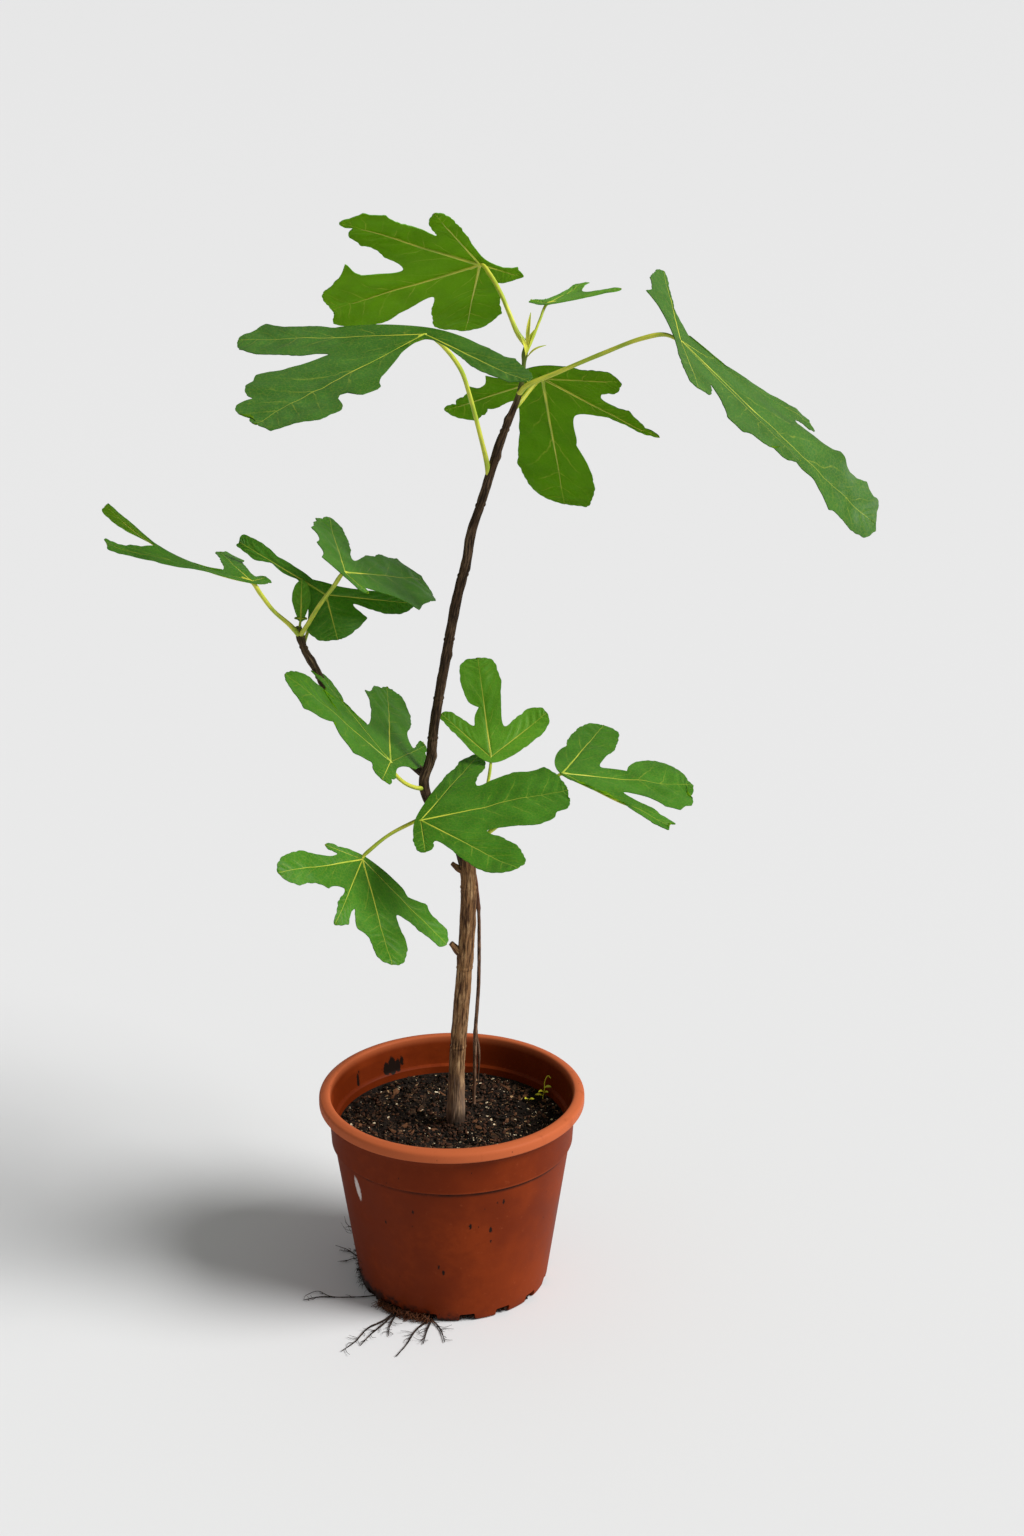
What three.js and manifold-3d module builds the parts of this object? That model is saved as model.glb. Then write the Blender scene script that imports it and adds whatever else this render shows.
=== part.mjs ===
// A young fig tree growing in a round terracotta-coloured nursery pot.
// Millimetres. +X right, +Y away from the viewer, +Z up. The pot stands on z = 0 at the origin.
import * as THREE from 'three';
import { mergeVertices } from 'three/addons/utils/BufferGeometryUtils.js';
import Module from 'manifold-3d';

const wasm = await Module();
wasm.setup();

// ---- pot -------------------------------------------------------------------
const POT_HEIGHT = 189;
const LIP_RADIUS = 120;
const LIP_HEIGHT = 11;
const LIP_INNER_RADIUS = 110;
const BAND_RADIUS = 111.5;
const BAND_FOOT_RADIUS = 109.5;
const STEP_DROP = 46.5;
const STEP_WIDTH = 2.2;
const BASE_RADIUS = 86.3;
const WALL = 2.8;
const FLOOR = 3;
const LEDGE_HEIGHT = 160;
const LEDGE_RADIUS = 104;
const DRAIN_COUNT = 16;
const DRAIN_WIDTH = 14;
const DRAIN_HEIGHT = 8;
const DRAIN_DEPTH = 22;
const DRAIN_FIRST_ANGLE = 212;

// ---- soil ------------------------------------------------------------------
const SOIL_LEVEL = 153;
const SOIL_SWELL = 1.6;
const SOIL_GAP = 0.4;
const PAD_RADIUS = 17;

// ---- wood ------------------------------------------------------------------
const SEAT_GAP = 0.3;
const TRUNK_FOOT_RADIUS = 8.6;
const TRUNK_RADIUS = 6.9;
const TRUNK_HEAD_RADIUS = 6.3;
const LEADER_FOOT_RADIUS = 5.2;
const LEADER_RADIUS = 4.2;
const LEADER_NECK_RADIUS = 3.7;
const SHOOT_TIP_RADIUS = 2.1;
const BOUGH_FOOT_RADIUS = 4.1;
const BOUGH_RADIUS = 3.3;
const DEAD_SHOOT_RADIUS = 1.6;

// ---- leaves ----------------------------------------------------------------
const BLADE_THICKNESS = 2;
const BLADE_SLENDERNESS = 0.0112;
const PETIOLE_RADIUS = 1.9;
const PETIOLE_FOOT_RADIUS = 2.3;
const PETIOLE_REACH = 9;
const SINUS_STEPS = 2;
const MARGIN_STEPS = 6;
const LOBE_SPANS = 6;
const TIP_SPAN = 2;
const NOTCH_TRIES = 8;

const SEGMENTS = 72;

const COLOURS = {
  pot: 0xb9542f,
  soil: 0x2b211b,
  trunk: 0x84735f,
  bough: 0x4d3a2b,
  deadShoot: 0x8d8069,
  leaf: 0x5d8a3a,
  root: 0x2e231c,
};

const rad = (degrees) => THREE.MathUtils.degToRad(degrees);
const vec = (p) => new THREE.Vector3(p[0], p[1], p[2]);

// ---- solids ----------------------------------------------------------------

// Turns any closed geometry into a boolean-ready solid, dropping collapsed triangles.
function solid(geometry) {
  const bare = geometry.clone();
  for (const name of Object.keys(bare.attributes)) {
    if (name !== 'position') {
      bare.deleteAttribute(name);
    }
  }
  const welded = mergeVertices(bare, 1e-4);
  const index = welded.index.array;
  const kept = [];
  for (let i = 0; i < index.length; i += 3) {
    const [a, b, c] = [index[i], index[i + 1], index[i + 2]];
    if (a !== b && b !== c && c !== a) {
      kept.push(a, b, c);
    }
  }
  return new wasm.Manifold(
    new wasm.Mesh({
      numProp: 3,
      vertProperties: new Float32Array(welded.attributes.position.array),
      triVerts: new Uint32Array(kept),
    }),
  );
}

function geometryOf(body) {
  const mesh = body.getMesh();
  const geometry = new THREE.BufferGeometry();
  const positions = new Float32Array(mesh.numVert * 3);
  for (let i = 0; i < mesh.numVert; i += 1) {
    for (let k = 0; k < 3; k += 1) {
      positions[3 * i + k] = mesh.vertProperties[mesh.numProp * i + k];
    }
  }
  geometry.setAttribute('position', new THREE.BufferAttribute(positions, 3));
  geometry.setIndex(Array.from(mesh.triVerts));
  geometry.computeVertexNormals();
  return geometry;
}

function indexed(points, faces) {
  const geometry = new THREE.BufferGeometry();
  geometry.setAttribute('position', new THREE.Float32BufferAttribute(points.flat(), 3));
  geometry.setIndex(faces.flat());
  return geometry;
}

// A solid of revolution about Z from a closed profile of [radius, height] points.
function turned(profile) {
  const geometry = new THREE.LatheGeometry(
    profile.map(([r, z]) => new THREE.Vector2(r, z)),
    SEGMENTS,
  );
  geometry.rotateX(Math.PI / 2);
  return outward(solid(geometry), geometry);
}

// Lathed profiles may come out inside-out: reverse the winding when the volume is negative.
function outward(body, geometry) {
  if (body.volume() > 0) {
    return body;
  }
  const index = Array.from(geometry.index.array);
  for (let i = 0; i < index.length; i += 3) {
    [index[i], index[i + 1]] = [index[i + 1], index[i]];
  }
  const turnedOver = geometry.clone();
  turnedOver.setIndex(index);
  return solid(turnedOver);
}

// A round limb swept along a smooth curve; the radius runs through `radii` from foot to tip.
// `skin` grows it all over, ends included, to cut a seat that keeps clear of it.
function limb(points, radii, steps, sides, skin = 0) {
  const curve = new THREE.CatmullRomCurve3(points.map(vec), false, 'centripetal');
  const frames = curve.computeFrenetFrames(steps, false);
  const rings = [];
  const caps = [];
  for (let i = 0; i <= steps; i += 1) {
    const t = i / steps;
    const at = t * (radii.length - 1);
    const low = Math.min(Math.floor(at), radii.length - 2);
    const radius = THREE.MathUtils.lerp(radii[low], radii[low + 1], at - low) + skin;
    const centre = curve.getPointAt(t);
    const overrun = i === 0 ? -skin : i === steps ? skin : 0;
    centre.addScaledVector(frames.tangents[i], overrun);
    if (i === 0 || i === steps) {
      caps.push(centre.toArray());
    }
    for (let k = 0; k < sides; k += 1) {
      const angle = (2 * Math.PI * k) / sides;
      const p = centre.clone();
      p.addScaledVector(frames.normals[i], radius * Math.cos(angle));
      p.addScaledVector(frames.binormals[i], radius * Math.sin(angle));
      rings.push(p.toArray());
    }
  }
  const faces = [];
  for (let i = 0; i < steps; i += 1) {
    for (let k = 0; k < sides; k += 1) {
      const a = i * sides + k;
      const b = i * sides + ((k + 1) % sides);
      faces.push([a, b, b + sides], [a, b + sides, a + sides]);
    }
  }
  const foot = rings.push(caps[0]) - 1;
  const head = rings.push(caps[1]) - 1;
  for (let k = 0; k < sides; k += 1) {
    const next = (k + 1) % sides;
    faces.push([foot, next, k], [head, steps * sides + k, steps * sides + next]);
  }
  return solid(indexed(rings, faces));
}

// ---- pot and soil ----------------------------------------------------------

// Outer radius of the tapering body at height z, below the band.
function bodyRadius(z) {
  const top = POT_HEIGHT - STEP_DROP;
  return THREE.MathUtils.lerp(BASE_RADIUS, BAND_FOOT_RADIUS - STEP_WIDTH, z / top);
}

function innerRadius(z) {
  return Math.min(bodyRadius(z) - WALL, LEDGE_RADIUS);
}

function potBody() {
  const stepZ = POT_HEIGHT - STEP_DROP;
  const lipZ = POT_HEIGHT - LIP_HEIGHT;
  const profile = [
    [0, 0],
    [BASE_RADIUS - 3, 0],
    [BASE_RADIUS - 0.6, 1.2],
    [bodyRadius(4), 4],
    [bodyRadius(stepZ - 2), stepZ - 2],
    [BAND_FOOT_RADIUS, stepZ],
    [BAND_RADIUS, lipZ - 1.5],
    [LIP_RADIUS - 2.5, lipZ],
    [LIP_RADIUS, lipZ + 1.5],
    [LIP_RADIUS, POT_HEIGHT - 4],
    [LIP_RADIUS - 1.6, POT_HEIGHT - 1.2],
    [LIP_RADIUS - 4.2, POT_HEIGHT],
    [LIP_INNER_RADIUS + 2, POT_HEIGHT],
    [LIP_INNER_RADIUS, POT_HEIGHT - 1.6],
    [LIP_INNER_RADIUS - 2.4, POT_HEIGHT - LIP_HEIGHT - 3],
    [LEDGE_RADIUS + 3, LEDGE_HEIGHT + 3.2],
    [LEDGE_RADIUS, LEDGE_HEIGHT],
    [innerRadius(stepZ - 6), stepZ - 6],
    [innerRadius(FLOOR), FLOOR],
    [0, FLOOR],
  ];
  let pot = turned(profile);
  const hole = new THREE.BoxGeometry(DRAIN_DEPTH, DRAIN_WIDTH, 2 * DRAIN_HEIGHT);
  for (let i = 0; i < DRAIN_COUNT; i += 1) {
    const cut = hole.clone();
    cut.translate(BASE_RADIUS - DRAIN_DEPTH / 2 + 3, 0, 0);
    cut.rotateZ(rad(DRAIN_FIRST_ANGLE + (360 / DRAIN_COUNT) * i));
    pot = pot.subtract(solid(cut));
  }
  return pot;
}

// Height of the compost surface: gentle lumps that die out at the planted stems and the wall.
function soilHeight(x, y) {
  const lumps =
    Math.sin(0.085 * x + 1.1) * Math.cos(0.07 * y - 0.4) +
    0.6 * Math.sin(0.19 * x - 0.13 * y + 2.3) +
    0.4 * Math.cos(0.16 * y + 0.21 * x);
  const wall = THREE.MathUtils.smoothstep(LEDGE_RADIUS - Math.hypot(x, y), 0, 12);
  const stem = THREE.MathUtils.smoothstep(Math.hypot(x - 3, y), PAD_RADIUS - 5, PAD_RADIUS + 10);
  const shoot = THREE.MathUtils.smoothstep(Math.hypot(x - 20, y - 37), 9, 22);
  return SOIL_LEVEL + SOIL_SWELL * lumps * wall * stem * shoot;
}

function soilBody() {
  const spokes = SEGMENTS / 2;
  const radii = [12, 24, 36, 50, 64, 78, 91];
  radii.push(innerRadius(SOIL_LEVEL) - SOIL_GAP);
  const points = [[0, 0, soilHeight(0, 0)]];
  const ring = (r, height) => {
    const start = points.length;
    for (let k = 0; k < spokes; k += 1) {
      const angle = (2 * Math.PI * k) / spokes;
      const x = r * Math.sin(angle);
      const y = -r * Math.cos(angle);
      points.push([x, y, height(x, y)]);
    }
    return start;
  };
  const starts = radii.map((r) => ring(r, soilHeight));
  const shoulder = POT_HEIGHT - STEP_DROP - 6;
  starts.push(ring(innerRadius(shoulder) - SOIL_GAP, () => shoulder));
  const foot = FLOOR + SOIL_GAP;
  starts.push(ring(innerRadius(foot) - SOIL_GAP, () => foot));
  const bottom = points.push([0, 0, foot]) - 1;
  const faces = [];
  for (let k = 0; k < spokes; k += 1) {
    const next = (k + 1) % spokes;
    faces.push([0, starts[0] + k, starts[0] + next]);
    for (let i = 0; i + 1 < starts.length; i += 1) {
      const [a, b] = [starts[i] + k, starts[i] + next];
      const [c, d] = [starts[i + 1] + k, starts[i + 1] + next];
      faces.push([a, c, d], [a, d, b]);
    }
    const last = starts[starts.length - 1];
    faces.push([bottom, last + next, last + k]);
  }
  return solid(indexed(points, faces));
}

// ---- wood ------------------------------------------------------------------

const FOOT_Z = SOIL_LEVEL + SEAT_GAP;
const TRUNK_PATH = [
  [3, 0, FOOT_Z],
  [3.4, 0, 165],
  [5, 0, 217],
  [8, 0, 255],
  [13.5, 0, 323],
  [16, 0, 367],
  [16, 0, 403],
  [13, 0, 424],
];
const TRUNK_RADII = [
  TRUNK_FOOT_RADIUS, TRUNK_RADIUS, TRUNK_RADIUS, TRUNK_RADIUS, TRUNK_RADIUS, TRUNK_HEAD_RADIUS,
];
const LEADER_PATH = [
  [13, 0, 408],
  [9, 0, 422],
  [-4, 0, 445],
  [-19, 0, 470],
  [-21.5, 0, 486],
  [-16, 0, 503],
  [-12, 0, 536],
  [-1, 0, 599],
  [9, 0, 651],
  [16, 0, 678],
  [20.5, 0, 704],
  [29, 0, 730],
  [37, 0, 756],
  [45, 0, 781],
  [55, 0, 806],
  [60, 0, 819],
  [63, 0, 834],
  [65, 0, 856],
  [69, 0, 882],
];
const LEADER_RADII = [
  LEADER_FOOT_RADIUS, LEADER_RADIUS + 0.4, LEADER_RADIUS, LEADER_RADIUS, LEADER_RADIUS,
  LEADER_RADIUS, LEADER_NECK_RADIUS, LEADER_NECK_RADIUS, SHOOT_TIP_RADIUS, 0.7,
];
const BOUGH_PATH = [
  [-20, 0, 490],
  [-29, 10, 494],
  [-53, 18, 512],
  [-72, 19, 525],
  [-86, 18, 536],
  [-96, 16, 547],
  [-106, 14, 564],
  [-113, 12, 582],
  [-121, 7, 599],
  [-124, 4, 610],
  [-126, 1, 622],
];
const BOUGH_RADII = [BOUGH_FOOT_RADIUS, BOUGH_RADIUS + 0.3, BOUGH_RADIUS, BOUGH_RADIUS, 3.1];
const STUB_PATH = [
  [13, 0, 321],
  [7, -1, 325.5],
  [0.5, -1.5, 333],
];
const SPUR_PATH = [
  [15, 0, 401],
  [8.5, -1, 403.5],
  [2, -2, 409],
];
const STUB_RADII = [3.8, 3.3, 2.4];
const SPUR_RADII = [3, 2.6, 1.8];
const DEAD_SHOOT_PATH = [
  [19, 35, FOOT_Z],
  [20, 32, 186],
  [21, 28, 231],
  [24, 24, 276],
  [25, 21, 316],
  [24.5, 14, 366],
  [21, 7, 398],
  [17, 1, 409],
];
const DEAD_FORK_PATH = [
  [23, 40, 176],
  [24, 35, 200],
  [23.6, 31, 216],
  [21.2, 27.8, 232],
];

function trunkBody(skin = 0) {
  const flared = limb(TRUNK_PATH, TRUNK_RADII, 16, 12, skin);
  const stub = limb(STUB_PATH, STUB_RADII, 4, 8, skin);
  const spur = limb(SPUR_PATH, SPUR_RADII, 4, 8, skin);
  return flared.add(stub).add(spur).trimByPlane([0, 0, 1], FOOT_Z - skin);
}

const leaderBody = (skin = 0) => limb(LEADER_PATH, LEADER_RADII, 40, 10, skin);
const boughBody = (skin = 0) => limb(BOUGH_PATH, BOUGH_RADII, 22, 8, skin);

function deadShootBody(skin = 0) {
  const radius = DEAD_SHOOT_RADIUS;
  const main = limb(DEAD_SHOOT_PATH, [radius, radius + 0.1, radius, radius - 0.2], 18, 6, skin);
  const fork = limb(DEAD_FORK_PATH, [0.7, radius - 0.3, radius - 0.2], 6, 6, skin);
  return main.add(fork).trimByPlane([0, 0, 1], FOOT_Z - skin);
}

// ---- leaves ----------------------------------------------------------------

// A leaf is laid out flat: junction at the origin, midrib along +x, +y its left side.
// lobe: [angle, length, left half-width, right half-width, rise, curl, belly, twist], in degrees
// and mm, listed anticlockwise. Rise tilts the lobe up from the blade plane, curl bends it along its
// run, belly is how far out it is widest and twist turns its outer end about its own midvein.
// sinus: [angle, radius] of the notch that follows each lobe.
const BELLY = 0.68;

const LEAVES = [
  {
    name: 'leaf_top_back',
    at: [28, 38, 920],
    turn: [165, -22, 32],
    lobes: [
      [-114, 45, 19, 3, 0, 0],
      [-58, 110, 33, 25, 0, 0],
      [8, 130, 42, 46, 0, 0, 0.8],
      [66, 144, 20, 18, 0, 0],
      [93, 93, 9, 12, 0, 0],
    ],
    sinus: [[-84, 49], [-21, 58], [31, 64], [80, 80], [160, 7]],
    stalk: [[65, 0, 861], [59, 1, 869], [52, 4, 885], [45, 13, 900], [36, 28, 913]],
  },
  {
    name: 'leaf_top_left',
    at: [-14, -45, 876],
    turn: [-143, -10, -10],
    lobes: [
      [-38, 148, 34, 22, 0, 0],
      [14, 197, 40, 50, 0, 0],
      [91, 127, 17, 12, 0, 0],
    ],
    sinus: [[-13, 82], [52, 10], [-150, 12]],
    stalk: [[35, 0, 751], [34, -3, 762], [29, -11, 786], [21, -22, 820], [13, -31, 846], [-3, -40, 868]],
  },
  {
    name: 'leaf_top_young',
    at: [84, 20, 891],
    turn: [10, 10, 0],
    lobes: [
      [-8, 60, 11, 6, 0, 0],
      [54, 75, 6, 8, 0, 0],
      [112, 26, 5, 5, 0, 0],
    ],
    sinus: [[28, 38], [84, 18], [-120, 6]],
    stalk: [[66, 0, 854], [71, 5, 864], [77, 12, 878]],
  },
  {
    name: 'leaf_top_right',
    at: [189, -35, 869],
    turn: [25, -40, 30],
    lobes: [
      [-94, 84, 20, 14, 6, 0],
      [-40, 136, 24, 46, 8, 0, 0.6],
      [-5, 238, 24, 20, 0, 0, 0.84, 32],
      [21, 196, 8, 10, 0, 0, 0.86],
      [91, 106, 24, 4, 0, 0, 0.4],
    ],
    sinus: [[-72, 56], [-10, 162], [15.5, 160], [42, 36], [-170, 12]],
    stalk: [[60, 0, 820], [66, -3, 827], [91, -9, 839], [125, -18, 855], [157, -27, 869], [176, -31, 873]],
  },
  {
    name: 'leaf_upper_back',
    at: [80, 30, 828],
    turn: [72, -52, 10],
    lobes: [
      [-101, 72, 17, 12, 0, 0],
      [-64, 108, 5, 10, 0, 0],
      [4, 166, 38, 32, 0, 0, 0.76],
      [57, 129, 8, 17, 0, 0],
    ],
    sinus: [[-77, 53], [-29, 46], [41, 50], [176, 14]],
    stalk: [[56, 0, 808], [62, 7, 813], [71, 19, 822]],
  },
  {
    name: 'leaf_bough_left',
    at: [-160, -30, 671],
    turn: [165, 20, 10],
    lobes: [
      [-92, 33, 5, 8, 0, 0],
      [-48, 72, 10, 14, 0, 0],
      [27, 137, 12, 15, -9, 36, 0.82, 36],
      [46, 136, 7, 6, 0, 0, 0.86, -22],
    ],
    sinus: [[-72, 26], [8, 28], [37, 90], [120, 8]],
    stalk: [[-126, 1, 616], [-132, -4, 625], [-145, -14, 641], [-154, -24, 658]],
  },
  {
    name: 'leaf_bough_low',
    at: [-103, 14, 647],
    turn: [-88, -74, 0],
    lobes: [
      [-122, 85, 5, 9, 0, 0, 0.86],
      [14, 39, 25, 21, 0, 0],
      [84, 82, 8, 12, -25, 0],
    ],
    sinus: [[-92, 18], [70, 26], [180, 11]],
    stalk: [[-123, 7, 604], [-117, 12, 620], [-108, 14, 638]],
  },
  {
    name: 'leaf_bough_right',
    at: [-83, -28, 678],
    turn: [58, -20, 30],
    lobes: [
      [-84, 28, 6, 9, 0, 0],
      [8, 143, 32, 36, 0, 0, 0.7],
      [50, 124, 20, 15, 0, 0, 0.66],
    ],
    sinus: [[-60, 22], [32, 46], [150, 8]],
    stalk: [[-125, 3, 614], [-119, -6, 624], [-106, -15, 646], [-94, -22, 663]],
  },
  {
    name: 'leaf_bough_bud',
    at: [-124, 4, 629],
    turn: [80, 76, 0],
    lobes: [
      [-90, 5, 1, 1, 0, 0],
      [0, 33, 8, 8, 0, 0, 0.5],
      [90, 5, 1, 1, 0, 0],
    ],
    sinus: [[-45, 7], [45, 7], [180, 3]],
    stalk: [[-125, 2, 619], [-124.5, 3, 625]],
  },
  {
    name: 'leaf_mid_left',
    at: [-48, -30, 513],
    turn: [145, 40, 18],
    lobes: [
      [-83, 84, 3, 11, 0, 0, 0.74],
      [-53, 131, 18, 27, 0, 0, 0.72],
      [0, 98, 8, 10, 0, 0, 0.86],
      [28, 117, 26, 26, 0, 0],
      [112, 43, 12, 14, 0, 0],
    ],
    sinus: [[-70, 74], [-14, 43], [12, 84], [80, 38], [-170, 8]],
    stalk: [[-21, 0, 479], [-26, -5, 480], [-37, -15, 488], [-47, -26, 503]],
  },
  {
    name: 'leaf_mid_upright',
    at: [36, 33, 495],
    turn: [95, 50, 0],
    lobes: [
      [-52, 65, 14, 12, 0, 0],
      [4, 95, 18, 17, 0, 0, 0.8],
      [45, 59, 5, 10, 0, 0],
    ],
    sinus: [[-25, 32], [24, 33], [180, 5]],
    stalk: [[15, 1, 404], [21, 12, 424], [30, 22, 458], [35, 30, 483]],
  },
  {
    name: 'leaf_mid_front',
    at: [-23, -48, 467],
    turn: [12, 8, 10],
    lobes: [
      [-97, 51, 9, 8, 0, 0],
      [-60, 120, 24, 19, 0, 0],
      [0, 129, 44, 42, 0, 0, 0.72],
      [51, 112, 11, 16, 0, 0],
    ],
    sinus: [[-78, 40], [-37, 62], [32, 68], [140, 5]],
    stalk: [[-14, 0, 462], [-17, -16, 462], [-21, -38, 464]],
  },
  {
    name: 'leaf_mid_right',
    at: [98, 12, 488],
    turn: [17, -10, 10],
    lobes: [
      [-49, 111, 13, 8, 0, 0, 0.88],
      [-3, 119, 40, 34, 0, 0, 0.8],
      [55, 122, 17, 22, 0, 0, 0.74],
    ],
    sinus: [[-31, 56], [23, 45], [120, 6]],
    stalk: [[13, -1, 419], [34, 2, 436], [68, 8, 462], [90, 12, 481]],
  },
  {
    name: 'leaf_mid_low',
    at: [-73, -42, 429],
    turn: [-78, -32, -30],
    lobes: [
      [-96, 38, 4, 4, 0, 0],
      [-66, 99, 14, 16, 0, 0],
      [-27, 87, 10, 5, 0, 0],
      [6, 107, 22, 17, 0, 0, 0.74],
      [47, 102, 13, 12, 0, 0, 0.76],
    ],
    sinus: [[-80, 32], [-33, 46], [-13, 78], [27, 58], [130, 5]],
    stalk: [[-11, 0, 457], [-29, -17, 454], [-50, -30, 447], [-64, -37, 438]],
  },
];

// Blends a lobe value round the leaf, so neighbouring lobes ease into one another.
function aroundLeaf(lobes, degrees, field) {
  const count = lobes.length;
  let turn = degrees;
  while (turn < lobes[0][0]) {
    turn += 360;
  }
  for (let i = 0; i < count; i += 1) {
    const start = lobes[i][0];
    const end = i + 1 < count ? lobes[i + 1][0] : lobes[0][0] + 360;
    if (turn >= start && turn <= end) {
      const t = THREE.MathUtils.smoothstep(turn, start, end);
      return THREE.MathUtils.lerp(lobes[i][field], lobes[(i + 1) % count][field], t);
    }
  }
  return lobes[0][field];
}

// Height added where a lobe's outer end is twisted about its midvein.
function twistLift(lobes, degrees, reach) {
  let lift = 0;
  lobes.forEach(([angle, length, , , , , , twist = 0], i) => {
    const off = THREE.MathUtils.euclideanModulo(degrees - angle + 180, 360) - 180;
    const beside = lobes[(i + (off > 0 ? 1 : lobes.length - 1)) % lobes.length][0];
    const gap = THREE.MathUtils.euclideanModulo(off > 0 ? beside - angle : angle - beside, 360);
    const hold = 1 - THREE.MathUtils.smoothstep(Math.abs(off), 0.3 * gap, 0.8 * gap);
    lift += Math.tan(rad(twist)) * reach * Math.sin(rad(off)) * (reach / length) ** 2 * hold;
  });
  return lift;
}

// Lifts a flat point of the leaf onto its bent surface: each radius is an arc.
function onBlade(leaf, [x, y]) {
  const reach = Math.hypot(x, y);
  const angle = Math.atan2(y, x);
  const degrees = THREE.MathUtils.radToDeg(angle);
  const rise = rad(aroundLeaf(leaf.lobes, degrees, 4));
  const curl = rad(aroundLeaf(leaf.lobes, degrees, 5)) / aroundLeaf(leaf.lobes, degrees, 1);
  const bend = Math.abs(curl) < 1e-6 ? 1e-6 : curl;
  const along = (Math.sin(rise + bend * reach) - Math.sin(rise)) / bend;
  const arc = (Math.cos(rise) - Math.cos(rise + bend * reach)) / bend;
  const lift = arc + twistLift(leaf.lobes, degrees, reach);
  return new THREE.Vector3(along * Math.cos(angle), along * Math.sin(angle), lift);
}

// The leaf's frame: heading about Z, then pitch of the midrib, then roll about it.
function leafFrame([heading, pitch, roll]) {
  const frame = new THREE.Matrix4().makeRotationZ(rad(heading));
  frame.multiply(new THREE.Matrix4().makeRotationY(-rad(pitch)));
  frame.multiply(new THREE.Matrix4().makeRotationX(rad(roll)));
  return frame;
}

function polar(degrees, radius) {
  return [radius * Math.cos(rad(degrees)), radius * Math.sin(rad(degrees))];
}

// Control points of one lobe from its right shoulder over the tip to its left shoulder.
function lobeControls([angle, length, left, right, , , belly = BELLY]) {
  const cheek = (1 + belly) / 2 + 0.08;
  const at = (along, across) => {
    const [cx, cy] = polar(angle, along * length);
    const [nx, ny] = polar(angle + 90, across);
    return [cx + nx, cy + ny];
  };
  return [at(belly, -right), at(cheek, -0.72 * right), at(1, 0), at(cheek, 0.72 * left), at(belly, left)];
}

// Closed margin of the leaf as a function of the span between control points.
function marginOf(leaf) {
  const controls = [];
  leaf.lobes.forEach((lobe, i) => {
    controls.push(...lobeControls(lobe), polar(...leaf.sinus[i]));
  });
  const curve = new THREE.CatmullRomCurve3(
    controls.map(([x, y]) => new THREE.Vector3(x, y, 0)),
    true,
    'centripetal',
  );
  return (span) => {
    const p = curve.getPoint(THREE.MathUtils.euclideanModulo(span, controls.length) / controls.length);
    return [p.x, p.y];
  };
}

// How many spans after lobe i's tip the margin comes nearest to the junction.
function spansToNotch(margin, i) {
  const tip = LOBE_SPANS * i + TIP_SPAN;
  const reach = (spans) => Math.hypot(...margin(tip + spans));
  const tries = Array.from({ length: LOBE_SPANS * NOTCH_TRIES }, (_, k) => k / NOTCH_TRIES);
  return tries.reduce((best, spans) => (reach(spans) < reach(best) ? spans : best));
}

// Rows of flat points for one lobe: [right side, midvein, left side], from junction to tip.
function lobeRows(leaf, margin, i) {
  const tip = LOBE_SPANS * i + TIP_SPAN;
  const before = (i + leaf.lobes.length - 1) % leaf.lobes.length;
  const side = (spans) => {
    const start = margin(tip + spans);
    const run = [];
    for (let k = 1; k <= SINUS_STEPS; k += 1) {
      run.push([(start[0] * k) / SINUS_STEPS, (start[1] * k) / SINUS_STEPS]);
    }
    for (let k = 1; k < MARGIN_STEPS; k += 1) {
      run.push(margin(tip + spans * (1 - k / MARGIN_STEPS)));
    }
    return run;
  };
  const right = side(spansToNotch(margin, before) - LOBE_SPANS);
  const left = side(spansToNotch(margin, i));
  const [ux, uy] = polar(leaf.lobes[i][0], 1);
  let reach = 0;
  return right.map((r, k) => {
    const l = left[k];
    const mean = (r[0] * ux + r[1] * uy + l[0] * ux + l[1] * uy) / 2;
    reach = Math.max(reach + 0.5, Math.min(mean, leaf.lobes[i][1] - 0.5 * (right.length - k)));
    return [r, [ux * reach, uy * reach], l];
  }).concat([[margin(tip), margin(tip), margin(tip)]]);
}

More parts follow.
